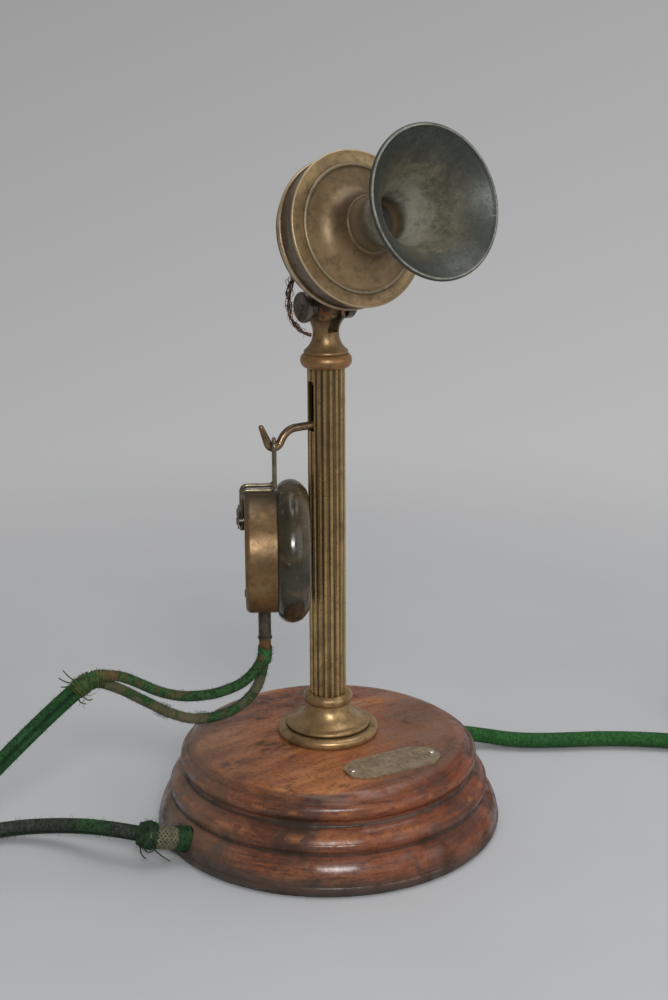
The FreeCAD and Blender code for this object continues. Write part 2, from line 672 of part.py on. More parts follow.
# Blank brass plate, pinned to the base's top
half_length = dim.name_plate_length / 2
half_width = dim.name_plate_width / 2
shoulder = half_length - dim.name_plate_shoulder
shoulder_x = half_length - dim.name_plate_shoulder * 0.34
shoulder_y = half_width - (half_width - dim.name_plate_end) * 0.36
plate_blank = padded("name_plate_blank", "XY_Plane", [
    (-shoulder, -half_width),
    (shoulder, -half_width),
    (shoulder_x, -shoulder_y, "via"),
    (half_length, -dim.name_plate_end),
    (half_length, dim.name_plate_end),
    (shoulder_x, shoulder_y, "via"),
    (shoulder, half_width),
    (-shoulder, half_width),
    (-shoulder_x, shoulder_y, "via"),
    (-half_length, dim.name_plate_end),
    (-half_length, -dim.name_plate_end),
    (-shoulder_x, -shoulder_y, "via"),
], dim.name_plate_thick)
plate_drills = []
plate_pins = []
for number, side in enumerate((-1, 1)):
    plate_drills.append(cylinder(
        f"plate_drill_{number}", dim.plate_pin_radius + dim.thread_fit, dim.name_plate_thick + 1.0,
        side * pin_reach, 0, -0.5,
    ))
    seat = facing(side * pin_reach, 0, dim.name_plate_thick, Vector(0, 0, 1))
    plate_pins.append(screw(
        f"plate_pin_{number}", dim.plate_pin_head, 0.8, dim.plate_pin_radius,
        dim.plate_pin_length + dim.name_plate_thick - 0.2, seat,
    ))
node(cut("name_plate_body", plate_blank, plate_drills), "name_plate", plate_frame)
node(group("plate_pin_group", plate_pins), "name_plate_pins", plate_frame)

# Column: a fluted tube through a turned flange, drawn down by a nut inside the base
flange_top = dim.base_height + dim.flange_bead + dim.flange_step_rise + dim.flange_bell_rise
step_base = dim.base_height + dim.flange_bead
bell_base = step_base + dim.flange_step_rise
node(turned("flange_body", [
    (dim.column_radius + dim.column_fit, dim.base_height),
    (dim.flange_radius - 1.2, dim.base_height),
    (dim.flange_radius, dim.base_height + dim.flange_bead / 2, "via"),
    (dim.flange_radius - 1.8, step_base),
    (dim.flange_step_radius, step_base),
    (dim.flange_step_radius + 0.6, step_base + dim.flange_step_rise / 2, "via"),
    (dim.flange_step_radius - 0.8, bell_base),
    (dim.flange_step_radius - 2.6, bell_base + 0.4),
    (dim.flange_neck_radius + 1.6, bell_base + dim.flange_bell_rise * 0.48, "via"),
    (dim.flange_neck_radius, flange_top),
    (dim.collar_radius, flange_top + dim.collar_rise / 2, "via"),
    (dim.flange_neck_radius, flange_top + dim.collar_rise),
    (dim.column_radius + dim.column_fit, flange_top + dim.collar_rise),
]), "column_flange")

washer_base = roof_under - dim.washer_thick
nut_base = washer_base - dim.nut_thick
column_base = nut_base - dim.column_tail
column_top = dim.base_height + dim.column_length
hook_height = column_top - dim.hook_drop
pivot_height = column_top + dim.pivot_rise
flute_base = flange_top - 2.0

tube = doc.addObject("PartDesign::Body", "fluted_tube")
tube_sketch = closed_sketch(tube, "tube_outline", "XZ_Plane", [
    (dim.column_bore, column_base),
    (dim.column_radius, column_base),
    (dim.column_radius, column_top),
    (dim.column_bore, column_top),
])
tube_turn = tube.newObject("PartDesign::Revolution", "tube_turn")
tube_turn.Profile = tube_sketch
tube_turn.ReferenceAxis = (tube_sketch, ["V_Axis"])
tube_turn.Angle = 360.0
flute_sketch = tube.newObject("Sketcher::SketchObject", "flute_outline")
flute_sketch.AttachmentSupport = [(origin_plane(tube, "XY_Plane"), "")]
flute_sketch.MapMode = "FlatFace"
flute_sketch.AttachmentOffset = Placement(spot(0, 0, flute_base), Rotation())
flute_middle = dim.column_radius - dim.flute_depth + dim.flute_radius
flute_circle = Part.Circle(spot(flute_middle, 0, 0), Vector(0, 0, 1), dim.flute_radius.value)
flute_sketch.addGeometry(flute_circle, False)
flute_sketch.addConstraint([
    Sketcher.Constraint("PointOnObject", 0, 3, -1),
    Sketcher.Constraint("DistanceX", -1, 1, 0, 3, flute_middle.value),
    Sketcher.Constraint("Radius", 0, dim.flute_radius.value),
])
flute_sketch.setExpression("Constraints[1]", flute_middle.text)
flute_sketch.setExpression("Constraints[2]", dim.flute_radius.text)
doc.recompute()
plain_volume = tube.Shape.Volume
flute = tube.newObject("PartDesign::Pocket", "flute")
flute.Profile = flute_sketch
bind(flute, Length=column_top - flute_base + 1.0)
flute.Reversed = True
doc.recompute()
fluting = tube.newObject("PartDesign::PolarPattern", "fluting")
fluting.Originals = [flute]
fluting.Axis = (tube_sketch, ["V_Axis"])
fluting.Angle = 360.0
fluting.Occurrences = int(dim.flute_count.value)
tube.Tip = fluting
doc.recompute()
print("flutes take", round(plain_volume - tube.Shape.Volume, 1), "mm3")

slot_base = hook_height - dim.slot_below
column_cuts = [box(
    "hook_slot", dim.column_radius + 1.0 - 3.0, dim.slot_width, dim.slot_below + dim.slot_above,
    -dim.column_radius - 1.0, -dim.slot_width / 2, slot_base,
)]
frame_screw_heights = (hook_height + 4.6, hook_height - 20.0)
for number, height in enumerate(frame_screw_heights):
    column_cuts.append(cylinder(
        f"frame_screw_drill_{number}", dim.frame_screw_radius + dim.thread_fit, 8,
        dim.frame_web + 0.4, 0, height, X_AXIS,
    ))
yoke_screw_height = column_top - dim.yoke_plug / 2
column_cuts.append(cylinder(
    "yoke_screw_drill", dim.frame_screw_radius + dim.thread_fit, 8, 0, dim.frame_web + 0.4,
    yoke_screw_height, Y_AXIS,
))
node(cut("column_body", tube, column_cuts), "column_tube")
node(cut("washer_body", cylinder(
    "washer_disc", dim.washer_radius, dim.washer_thick, 0, 0, washer_base,
), [cylinder(
    "washer_hole", dim.column_radius + dim.thread_fit, dim.washer_thick, 0, 0, washer_base,
)]), "column_washer")
node(cut("nut_body", hexagon("nut_hexagon", dim.nut_flats, dim.nut_thick, 0, 0, nut_base), [cylinder(
    "nut_hole", dim.column_radius + dim.thread_fit, dim.nut_thick, 0, 0, nut_base,
)]), "column_nut")

# Yoke: a turned bell on the column, milled to a fork that carries the tilt bolt
ring_base = column_top + dim.yoke_bead_rise
ring_top = ring_base + dim.yoke_ring_rise
yoke_neck_height = ring_top + dim.yoke_neck_rise
fork_base = yoke_neck_height + dim.yoke_fork_rise
fork_top = pivot_height + dim.yoke_fork_radius
yoke_turning = turned("yoke_turning", [
    (0, column_top - dim.yoke_plug),
    (dim.column_bore - dim.column_fit, column_top - dim.yoke_plug),
    (dim.column_bore - dim.column_fit, column_top),
    (dim.yoke_bead_radius - 1.5, column_top),
    (dim.yoke_bead_radius, column_top + dim.yoke_bead_rise / 2, "via"),
    (dim.yoke_bead_radius - 1.5, ring_base),
    (dim.yoke_ring_radius - 0.3, ring_base),
    (dim.yoke_ring_radius, ring_base + dim.yoke_ring_rise / 2, "via"),
    (dim.yoke_ring_radius - 0.5, ring_top),
    (dim.yoke_neck_radius + 0.8, yoke_neck_height - 3.8, "via"),
    (dim.yoke_neck_radius, yoke_neck_height),
    (dim.yoke_neck_radius + 0.7, yoke_neck_height + dim.yoke_fork_rise * 0.55, "via"),
    (dim.yoke_fork_radius, fork_base),
    (dim.yoke_fork_radius, fork_top),
    (0, fork_top),
])
fork_round = fuse("fork_round", [
    cylinder(
        "fork_eye", dim.yoke_fork_radius, dim.yoke_fork_radius * 2.0 + 2.0,
        -dim.yoke_fork_radius - 1.0, 0, pivot_height, X_AXIS,
    ),
    cylinder(
        "fork_stem", dim.yoke_bead_radius + 1.0, dim.pivot_rise + dim.yoke_plug, 0, 0,
        column_top - dim.yoke_plug,
    ),
])
flat_depth = dim.yoke_fork_radius
yoke_cuts = [
    box(
        "fork_gap", dim.fork_slot, 4.0 * dim.yoke_fork_radius, dim.fork_slot_depth + 20.0,
        -dim.fork_slot / 2, -2.0 * dim.yoke_fork_radius, pivot_height - dim.fork_slot_depth,
    ),
    box(
        "left_flat", flat_depth, 4.0 * dim.yoke_fork_radius, 30,
        -dim.yoke_flat - flat_depth, -2.0 * dim.yoke_fork_radius, fork_base - 1.0,
    ),
    box(
        "right_flat", flat_depth, 4.0 * dim.yoke_fork_radius, 30,
        dim.yoke_flat, -2.0 * dim.yoke_fork_radius, fork_base - 1.0,
    ),
    cylinder(
        "fork_bore", dim.pivot_radius + dim.thread_fit, dim.yoke_fork_radius * 3.0,
        dim.yoke_fork_radius * -1.5, 0, pivot_height, X_AXIS,
    ),
    cylinder(
        "yoke_screw_bore", dim.frame_screw_radius + dim.thread_fit, 8, 0, dim.frame_web + 0.4,
        yoke_screw_height, Y_AXIS,
    ),
]
node(cut("yoke_body", common("yoke_rounded", [yoke_turning, fork_round]), yoke_cuts), "head_yoke")

spacer_face = dim.pivot_head_face - dim.pivot_head_thick
nut_seat = dim.yoke_flat + dim.pivot_washer_thick
bolt_end = nut_seat + dim.pivot_nut_thick + dim.pivot_tail
bolt = turned("pivot_bolt_body", [
    (0, -dim.pivot_head_face),
    (1.1, -dim.pivot_head_face),
    (1.3, 0.6 - dim.pivot_head_face),
    (dim.pivot_head_radius - 1.0, 0.3 - dim.pivot_head_face),
    (dim.pivot_head_radius - 0.2, 0.7 - dim.pivot_head_face, "via"),
    (dim.pivot_head_radius, 1.2 - dim.pivot_head_face),
    (dim.pivot_head_radius, -spacer_face),
    (dim.pivot_radius, -spacer_face),
    (dim.pivot_radius, bolt_end),
    (0, bolt_end),
])
bolt.Placement = Placement(spot(0, 0, pivot_height), X_AXIS)
node(bolt, "pivot_bolt")


def ring(name, radius, bore, thick, x):
    """A washer on the tilt bolt."""
    return cut(name, cylinder(name + "_disc", radius, thick, x, 0, pivot_height, X_AXIS), [
        cylinder(name + "_hole", bore, thick, x, 0, pivot_height, X_AXIS),
    ])


bolt_bore = dim.pivot_radius + dim.thread_fit
node(group("pivot_washer_group", [
    ring("head_spacer", dim.pivot_spacer_radius, bolt_bore, spacer_face - dim.yoke_flat, -spacer_face),
    ring("nut_washer", dim.pivot_spacer_radius, bolt_bore, dim.pivot_washer_thick, dim.yoke_flat),
]), "pivot_washers")
node(cut("pivot_nut_body", cylinder(
    "pivot_nut_round", dim.pivot_nut_radius, dim.pivot_nut_thick, nut_seat, 0, pivot_height, X_AXIS,
), [cylinder(
    "pivot_nut_hole", bolt_bore, dim.pivot_nut_thick, nut_seat, 0, pivot_height, X_AXIS,
)]), "pivot_nut")

# Hook switch: a frame inside the column carries the hook's pin and a stack of contact leaves
frame_base = hook_height - dim.frame_below
frame_height = dim.frame_below + dim.frame_above
frame_block = common("frame_block", [
    box(
        "frame_box", dim.column_bore - dim.frame_front, dim.frame_width, frame_height,
        dim.frame_front, -dim.frame_width / 2, frame_base,
    ),
    cylinder("frame_round", dim.column_bore - dim.column_fit, frame_height, 0, 0, frame_base),
])
cheek_gap = dim.frame_width - 2.0 * dim.frame_cheek
frame_cuts = [
    box(
        "frame_channel", dim.frame_web - dim.frame_front + 1.0, cheek_gap, frame_height + 2.0,
        dim.frame_front - 1.0, -cheek_gap / 2, frame_base - 1.0,
    ),
    cylinder(
        "frame_pin_bore", dim.hook_pin_radius + dim.pivot_fit / 2, dim.frame_width + 2.0,
        dim.hook_pivot_x, -dim.frame_width / 2 - 1.0, hook_height, Y_AXIS,
    ),
]
stack_height = frame_base + 1.0 + dim.stack_height / 2
for number, height in enumerate(frame_screw_heights):
    frame_cuts.append(cylinder(
        f"frame_tap_{number}", dim.frame_screw_radius + dim.thread_fit, 8,
        dim.frame_web + 0.4, 0, height, X_AXIS,
    ))
frame_cuts.append(cylinder(
    "stack_tap", dim.stack_screw_radius + dim.thread_fit, 2.5, dim.frame_web - 0.5, 0, stack_height, X_AXIS,
))
node(cut("frame_body", frame_block, frame_cuts), "switch_frame")
frame_screws = []
for number, height in enumerate(frame_screw_heights):
    seat = facing(dim.column_radius, 0, height, Vector(1, 0, 0))
    frame_screws.append(screw(
        f"frame_screw_{number}", dim.frame_screw_head, dim.frame_screw_thick, dim.frame_screw_radius,
        dim.column_radius - dim.frame_web - 0.6, seat,
    ))
frame_screws.append(screw(
    "yoke_screw", dim.frame_screw_head, dim.frame_screw_thick, dim.frame_screw_radius,
    dim.column_radius - dim.frame_web - 0.6, facing(0, dim.column_radius, yoke_screw_height, Vector(0, 1, 0)),
))
node(group("frame_screw_group", frame_screws), "column_screws")
node(cylinder(
    "hook_pin_body", dim.hook_pin_radius, dim.frame_width, dim.hook_pivot_x, -dim.frame_width / 2,
    hook_height, Y_AXIS,
), "hook_pivot_pin")

rear_leaf = dim.frame_web - dim.leaf_gap - dim.leaf_thick
front_leaf = rear_leaf - dim.leaf_gap - dim.leaf_thick
stack_base = frame_base + 1.0


def leaf(name, x):
    """A contact leaf, drilled for the stack screw."""
    strip = box(
        name + "_strip", dim.leaf_thick, dim.leaf_width, dim.leaf_length, x, -dim.leaf_width / 2, stack_base,
    )
    hole = dim.stack_screw_radius + dim.thread_fit
    return cut(name, strip, [cylinder(name + "_hole", hole, 2, x - 0.8, 0, stack_height, X_AXIS)])


def insulator(name, x):
    """An insulating piece between leaves, drilled for the stack screw."""
    block = box(
        name + "_block", dim.leaf_gap, dim.leaf_width, dim.stack_height, x, -dim.leaf_width / 2, stack_base,
    )
    hole = dim.stack_screw_radius + dim.thread_fit
    return cut(name, block, [cylinder(name + "_hole", hole, 2, x - 0.6, 0, stack_height, X_AXIS)])


node(group("leaf_group", [leaf("rear_leaf", rear_leaf), leaf("front_leaf", front_leaf)]), "contact_springs")
node(group("insulator_group", [
    insulator("rear_insulator", rear_leaf + dim.leaf_thick),
    insulator("middle_insulator", front_leaf + dim.leaf_thick),
    insulator("front_insulator", front_leaf - dim.leaf_gap),
]), "spring_insulators")
stack_front = front_leaf - dim.leaf_gap
node(screw(
    "stack_screw_body", 1.5, 0.8, dim.stack_screw_radius, dim.frame_web - stack_front + 1.4,
    facing(stack_front, 0, stack_height, Vector(-1, 0, 0)),
), "spring_stack_screw")

# Hook: a bent wire arm on a hub, with a tail that works the contact leaves


def pipe(label, points, radius, bends):
    """A round wire along straight runs with a given bend radius at each inner point."""
    wire, length, radii = rounded_path(points, bends)
    feature = doc.addObject("Part::Feature", label)
    feature.Shape = swept(wire, points[0], points[1] - points[0], radius)
    check_tube(label, feature.Shape, radius, length)
    return feature


def rounded_path(points, bends):
    """Straight runs joined by tangent arcs: the wire, its length and the radii of its arcs."""
    edges = []
    radii = []
    here = points[0]
    for index in range(1, len(points) - 1):
        before = points[index - 1] - points[index]
        after = points[index + 1] - points[index]
        turn = math.pi - before.getAngle(after)
        setback = bends[index - 1] * math.tan(turn / 2)
        towards = Vector(before).normalize()
        onward = Vector(after).normalize()
        start = points[index] + towards * setback
        finish = points[index] + onward * setback
        bisector = (towards + onward).normalize()
        rise = bends[index - 1] * (1 / math.cos(turn / 2) - 1)
        middle = points[index] + bisector * rise
        if (start - here).Length > 1e-6:
            edges.append(Part.LineSegment(here, start).toShape())
        edges.append(Part.Arc(start, middle, finish).toShape())
        radii.append(bends[index - 1])
        here = finish
    edges.append(Part.LineSegment(here, points[-1]).toShape())
    wire = Part.Wire(edges)
    return wire, wire.Length, radii


def swept(wire, start, direction, radius):
    section = Part.Wire([Part.Circle(start, direction, radius).toShape()])
    return wire.makePipeShell([section], True, False)


def check_tube(label, shape, radius, length):
    expected = math.pi * radius * radius * length
    if abs(shape.Volume / expected - 1) > 0.01:
        raise ValueError(f"{label}: volume {shape.Volume:.1f}, section times length {expected:.1f}")


def local_points(route):
    return [spot(*point) for point in route]


saddle_height = hook_height - dim.saddle_drop
arm_start = -dim.hook_hub + 0.4 + dim.hook_pivot_x
saddle_end = spot(-dim.hook_reach - 2.1, 0, saddle_height)
tip_end = spot(-dim.hook_reach - dim.tip_reach, 0, saddle_height + dim.tip_rise)
taper_start = saddle_end + (tip_end - saddle_end) * 0.3
hook_wire = pipe("hook_arm", local_points([
    (arm_start, 0, hook_height),
    (-dim.hook_reach + 6.2, 0, hook_height),
    (-dim.hook_reach + 2.1, 0, saddle_height),
]) + [saddle_end, taper_start], dim.hook_wire.value, [8.0, 3.2, 3.2])
tip_taper = doc.addObject("Part::Cone", "hook_taper")
bind(tip_taper, Radius1=dim.hook_wire, Radius2=dim.hook_point)
tip_taper.Height = (tip_end - taper_start).Length
tip_taper.Placement = facing(*taper_start, tip_end - taper_start)
hook_hub = cylinder(
    "hook_hub", dim.hook_hub, cheek_gap - 0.4, dim.hook_pivot_x, -cheek_gap / 2 + 0.2, hook_height, Y_AXIS,
)
tail_back = front_leaf - dim.leaf_gap - 0.1
hook_tail = box(
    "hook_tail", dim.hook_tail_thick, dim.hook_tail_width, dim.hook_tail,
    tail_back - dim.hook_tail_thick - dim.button_thick, -dim.hook_tail_width / 2, hook_height - dim.hook_tail,
)
tip_ball = doc.addObject("Part::Sphere", "hook_tip")
bind(tip_ball, Radius=dim.hook_point)
tip_ball.Placement.Base = tip_end
node(cut("hook_body", fuse("hook_solid", [hook_hub, hook_wire, tip_taper, hook_tail, tip_ball]), [cylinder(
    "hook_bore", dim.hook_pin_radius + dim.pivot_fit, cheek_gap + 2.0, dim.hook_pivot_x,
    -cheek_gap / 2 - 1.0, hook_height, Y_AXIS,
)]), "hook_lever")
node(cylinder(
    "button_body", dim.button_radius, dim.button_thick, tail_back - dim.button_thick, 0,
    hook_height - dim.hook_tail + 2.0, X_AXIS,
), "lever_button")

# Transmitter head, in its own frame: +Z out of the mouthpiece, +Y up
head_frame = Placement(
    spot(0, -dim.head_forward, pivot_height + dim.head_above_pivot),
    Rotation(Vector(1, 0, 0), 90.0 - dim.head_tilt.value),
)
bore = dim.mouth_stem + dim.bezel_fit
seat_depth = 2.2
bridge_screw_x = dim.bridge_reach - dim.bridge_leg / 2
face_drills = []
for number, side in enumerate((-1, 1)):
    face_drills.append(cylinder(
        f"face_drill_{number}", dim.bridge_screw_radius + dim.thread_fit, 2.2, side * bridge_screw_x, 0,
        -dim.face_back - 0.2,
    ))
face = turned("face_turning", [
    (bore, 4.2),
    (bore + 2.8, 0.0, "via"),
    (dim.face_seat - 3.8, -seat_depth),
    (dim.face_seat, -seat_depth),
    (dim.face_seat, -dim.face_back),
    (dim.face_rim, -dim.face_back),
    (dim.face_rim, -1.6),
    (dim.face_rim - 1.0, -1.6),
    (dim.face_rim - 1.0, -0.7),
    (dim.ridge_radius, 0.3, "via"),
    (dim.ridge_radius - dim.ridge_width / 2, -0.7),
    (dim.ridge_radius - dim.ridge_width, -dim.face_floor),
    (dim.boss_radius + 8.6, -dim.face_floor),
    (dim.boss_radius + 3.0, 1.7, "via"),
    (dim.boss_radius + 0.8, dim.boss_rise - 1.1),
    (dim.boss_radius + 0.4, dim.boss_rise - 0.2, "via"),
    (dim.boss_radius - 0.3, dim.boss_rise),
    (bore, dim.boss_rise),
])
node(cut("face_body", face, face_drills), "transmitter_face", head_frame)
bezel_pocket = dim.cup_radius + dim.bezel_fit
cup_front = 2.95
bezel_front = -0.5
node(turned("bezel_body", [
    (dim.face_rim - 1.0 + dim.bezel_fit, -1.6),
    (dim.face_rim - 1.0 + dim.bezel_fit, bezel_front),
    ((dim.face_rim + dim.bezel_radius) / 2.0, bezel_front + dim.bezel_crown, "via"),
    (dim.bezel_radius - dim.bezel_edge, bezel_front),
    (dim.bezel_radius - dim.bezel_edge * 0.29, bezel_front - dim.bezel_edge * 0.29, "via"),
    (dim.bezel_radius, bezel_front - dim.bezel_edge),
    (dim.bezel_radius - dim.bezel_draft, -0.6 - dim.bezel_depth),
    (bezel_pocket, -0.6 - dim.bezel_depth),
    (bezel_pocket, 0.1 - cup_front),
    (dim.face_rim + dim.bezel_fit, 0.1 - cup_front),
    (dim.face_rim + dim.bezel_fit, -1.6),
]), "transmitter_bezel", head_frame)
cup_inner = dim.cup_radius - dim.cup_wall
cup_outline = [
    (cup_inner, -cup_front),
    (dim.cup_radius, -cup_front),
    (dim.cup_radius, 1.1 - dim.cup_rim_back),
    (dim.cup_rim_radius, -dim.cup_rim_back, "via"),
    (dim.cup_radius, -dim.cup_rim_back - 1.1),
    (dim.cup_radius - 0.9, 2.4 - dim.cup_back, "via"),
    (dim.cup_back_radius, -dim.cup_back),
    (0, -dim.cup_back),
    (0, dim.cup_wall - dim.cup_back),
    (dim.cup_back_radius - 0.4, dim.cup_wall - dim.cup_back),
    (cup_inner - 0.7, dim.cup_wall - dim.cup_back + 2.0, "via"),
    (cup_inner, -dim.cup_rim_back),
    (cup_inner, -dim.face_back - 1.6),
    (dim.cup_ledge, -dim.face_back - 1.6),
    (dim.cup_ledge, -dim.face_back),
    (cup_inner, -dim.face_back),
]
lug_drills = []
lug_screws = []
lead_start_x = -12.0
lead_start_y = -8.0
for number, side in enumerate((-1, 1)):
    lug_drills.append(cylinder(
        f"cup_drill_{number}", dim.lug_screw_radius + dim.thread_fit, 8, side * dim.lug_screw_x,
        -dim.lug_screw_low, -dim.cup_back - 4.0,
    ))
    seat = facing(
        side * dim.lug_screw_x, -dim.lug_screw_low, -dim.cup_back - dim.lug_foot_thick, Vector(0, 0, -1),
    )
    lug_screws.append(screw(
        f"lug_screw_{number}", dim.lug_screw_head, 1.4, dim.lug_screw_radius,
        dim.lug_foot_thick + dim.cup_wall + 0.8, seat,
    ))
lead_hole = cylinder(
    "lead_hole", dim.lead_radius + 0.4, 8, lead_start_x, lead_start_y, -dim.cup_back - 4.0,
)
cup = turned("cup_turning", cup_outline)
node(cut("cup_body", cup, lug_drills + [lead_hole]), "transmitter_cup", head_frame)

stem_back = 3.4
shoulder = dim.boss_rise + 0.05
node(turned("mouthpiece_body", [
    (dim.mouth_throat, stem_back),
    (dim.mouth_stem, stem_back),
    (dim.mouth_stem, shoulder),
    (dim.boss_radius - 0.2, shoulder),
    (dim.boss_radius - 0.2, shoulder + 1.2),
    (dim.mouth_neck, shoulder + 4.6),
    (dim.mouth_neck + 4.6, dim.mouth_length - 18.2, "via"),
    (dim.mouth_rim_radius - 1.0, dim.mouth_length - 1.9),
    (dim.mouth_rim_radius, dim.mouth_length - 0.8, "via"),
    (dim.mouth_rim_radius - 1.2, dim.mouth_length),
    (dim.mouth_rim_radius - 2.2, dim.mouth_length - 1.0),
    (dim.mouth_neck + 4.6 - dim.mouth_wall, dim.mouth_length - 17.4, "via"),
    (dim.mouth_throat + 0.6, shoulder + 5.4),
    (dim.mouth_throat, shoulder + 3.2),
]), "mouthpiece", head_frame)
grille_holes = [cylinder("grille_middle", dim.grille_hole, 4, 0, 0, shoulder)]
for number in range(int(dim.grille_count.value)):
    x, y = polar(dim.grille_circle, 30 + 360 * number / dim.grille_count.value)
    grille_holes.append(cylinder(f"grille_hole_{number}", dim.grille_hole, 4, x, y, shoulder))
node(cut("grille_body", cylinder(
    "grille_disc", dim.mouth_throat - dim.thread_fit, dim.grille_thick, 0, 0, shoulder + 1.0,
), grille_holes), "mouthpiece_grille", head_frame)

gasket_back = -seat_depth - dim.gasket_thick
diaphragm_back = gasket_back - dim.diaphragm_thick
diaphragm_radius = dim.face_seat - 0.2
node(cut("gasket_body", cylinder(
    "gasket_disc", diaphragm_radius, dim.gasket_thick, 0, 0, gasket_back,
), [cylinder(
    "gasket_hole", diaphragm_radius - dim.gasket_width, dim.gasket_thick, 0, 0, gasket_back,
)]), "diaphragm_gasket", head_frame)
node(cylinder(
    "diaphragm_disc", diaphragm_radius, dim.diaphragm_thick, 0, 0, diaphragm_back,
), "transmitter_diaphragm", head_frame)
bridge_front = dim.bridge_thick - dim.bridge_back
node(turned("button_turning", [
    (0, bridge_front),
    (dim.carbon_radius, bridge_front),
    (dim.carbon_radius, diaphragm_back - 2.0),
    (dim.carbon_radius - 2.0, diaphragm_back - 1.2),
    (2.0, diaphragm_back - 1.2),
    (2.0, diaphragm_back),
    (0, diaphragm_back),
]), "carbon_button", head_frame)
bridge_bar = box(
    "bridge_bar", dim.bridge_reach * 2.0, dim.bridge_width, dim.bridge_thick,
    -dim.bridge_reach, -dim.bridge_width / 2, -dim.bridge_back,
)
leg_length = dim.bridge_back - dim.bridge_thick - dim.face_back
bridge_legs = []
bridge_drills = []
bridge_screws = []
for number, side in enumerate((-1, 1)):
    corner = dim.bridge_reach - dim.bridge_leg if side > 0 else -dim.bridge_reach
    bridge_legs.append(box(
        f"bridge_leg_{number}", dim.bridge_leg, dim.bridge_width * 0.6, leg_length,
        corner, dim.bridge_width * -0.3, bridge_front,
    ))
    bridge_drills.append(cylinder(
        f"bridge_drill_{number}", dim.bridge_screw_radius + dim.thread_fit, 20, side * bridge_screw_x, 0,
        -dim.bridge_back - 2.0,
    ))
    bridge_screws.append(screw(
        f"bridge_screw_{number}", dim.bridge_screw_head, 1.1, dim.bridge_screw_radius,
        dim.bridge_back - dim.face_back + 1.6,
        facing(side * bridge_screw_x, 0, -dim.bridge_back, Vector(0, 0, -1)),
    ))
node(cut("bridge_body", fuse("bridge_solid", [bridge_bar] + bridge_legs), bridge_drills),
     "button_bridge", head_frame)
dampers = []
for number, side in enumerate((-1, 1)):
    strip_start = dim.damper_tip - 2.0
    strip_length = dim.face_seat + 2.8 - strip_start
    strip = box(
        f"damper_strip_{number}", dim.damper_width, strip_length, dim.damper_thick,
        -dim.damper_width / 2, strip_start if side > 0 else -strip_start - strip_length,
        -dim.face_back - dim.damper_thick,
    )
    pad = cylinder(
        f"damper_pad_{number}", dim.damper_width / 2, dim.face_back + diaphragm_back + 0.0,
        0, side * dim.damper_tip, -dim.face_back,
    )
    dampers.append(fuse(f"damper_{number}", [strip, pad]))
node(group("damper_group", dampers), "damping_springs", head_frame)

# Tongue on the cup's back, between the fork cheeks
tilt = math.radians(dim.head_tilt.value)
pivot_back = dim.head_forward * math.cos(tilt) + dim.head_above_pivot * math.sin(tilt)
pivot_low = dim.head_above_pivot * math.cos(tilt) - dim.head_forward * math.sin(tilt)
foot_face = -dim.cup_back - dim.lug_foot_thick
tongue = padded("tongue_pad", "YZ_Plane", [
    (-4.0, foot_face),
    (dim.lug_eye * 0.785 - pivot_low, dim.lug_eye * -0.62 - pivot_back),
    (dim.lug_eye * -0.89 - pivot_low, dim.lug_eye * 0.456 - pivot_back),
    (0.4 - dim.lug_foot_low, foot_face),
], dim.lug_thick)
tongue.Placement = Placement(spot(-dim.lug_thick / 2, 0, 0), Rotation())
foot = box(
    "lug_foot", dim.lug_foot_width, dim.lug_foot_low + dim.lug_foot_high, dim.lug_foot_thick,
    -dim.lug_foot_width / 2, -dim.lug_foot_low, foot_face,
)
eye = cylinder(
    "lug_eye", dim.lug_eye, dim.lug_thick, -dim.lug_thick / 2, -pivot_low, -pivot_back, X_AXIS,
)
eye_bore = cylinder(
    "lug_bore", dim.pivot_radius + dim.pivot_fit, dim.lug_thick + 2.0, -dim.lug_thick / 2 - 1.0,
    -pivot_low, -pivot_back, X_AXIS,
)
foot_drills = []
for number, side in enumerate((-1, 1)):
    foot_drills.append(cylinder(
        f"foot_drill_{number}", dim.lug_screw_radius + dim.thread_fit, 8, side * dim.lug_screw_x,
        -dim.lug_screw_low, -dim.cup_back - 5.0,
    ))
node(cut("lug_body", fuse("lug_solid", [tongue, foot, eye]), [eye_bore] + foot_drills),
     "transmitter_lug", head_frame)
node(group("head_screw_group", lug_screws + bridge_screws), "transmitter_screws", head_frame)

# Cords are limp: each bend takes 0.45 of its shorter run
RUN_SHARE = 0.45


def limp_bends(points):
    """The bend radius at each inner point of a cord."""
    bends = []
    for index in range(1, len(points) - 1):
        before = points[index - 1] - points[index]
        after = points[index + 1] - points[index]
        turn = math.pi - before.getAngle(after)
        bends.append(RUN_SHARE * min(before.Length, after.Length) / math.tan(turn / 2))
    return bends


def cord(label, route, radius):
    """A cord's tube along a hand-chosen route of points."""
    points = local_points(route)
    wire, length, radii = rounded_path(points, limp_bends(points))
    feature = doc.addObject("Part::Feature", label)
    feature.Shape = swept(wire, points[0], points[1] - points[0], radius)
    check_tube(label, feature.Shape, radius, length)
    print(label, "length", round(length, 1), "bend radii", [round(bend, 1) for bend in radii])
    return node(feature, label)


# Bare stranded leads from the cup to the yoke, which flex as the head tilts
lead_out = head_frame.multVec(spot(lead_start_x, lead_start_y, 0.6 - dim.cup_back))
cord("lead_wires", [
    (lead_out.x, lead_out.y, lead_out.z),
    (-13.6, -4.4, 249.0),
    (-16.4, -1.2, 244.5),
    (-17.6, 0.8, 238.0),
    (-17.0, 2.2, 230.8),
    (-14.2, 3.4, 223.6),
    (-9.6, 3.4, 219.4),
    (-6.0, 2.2, 218.2),
], dim.lead_radius.value)

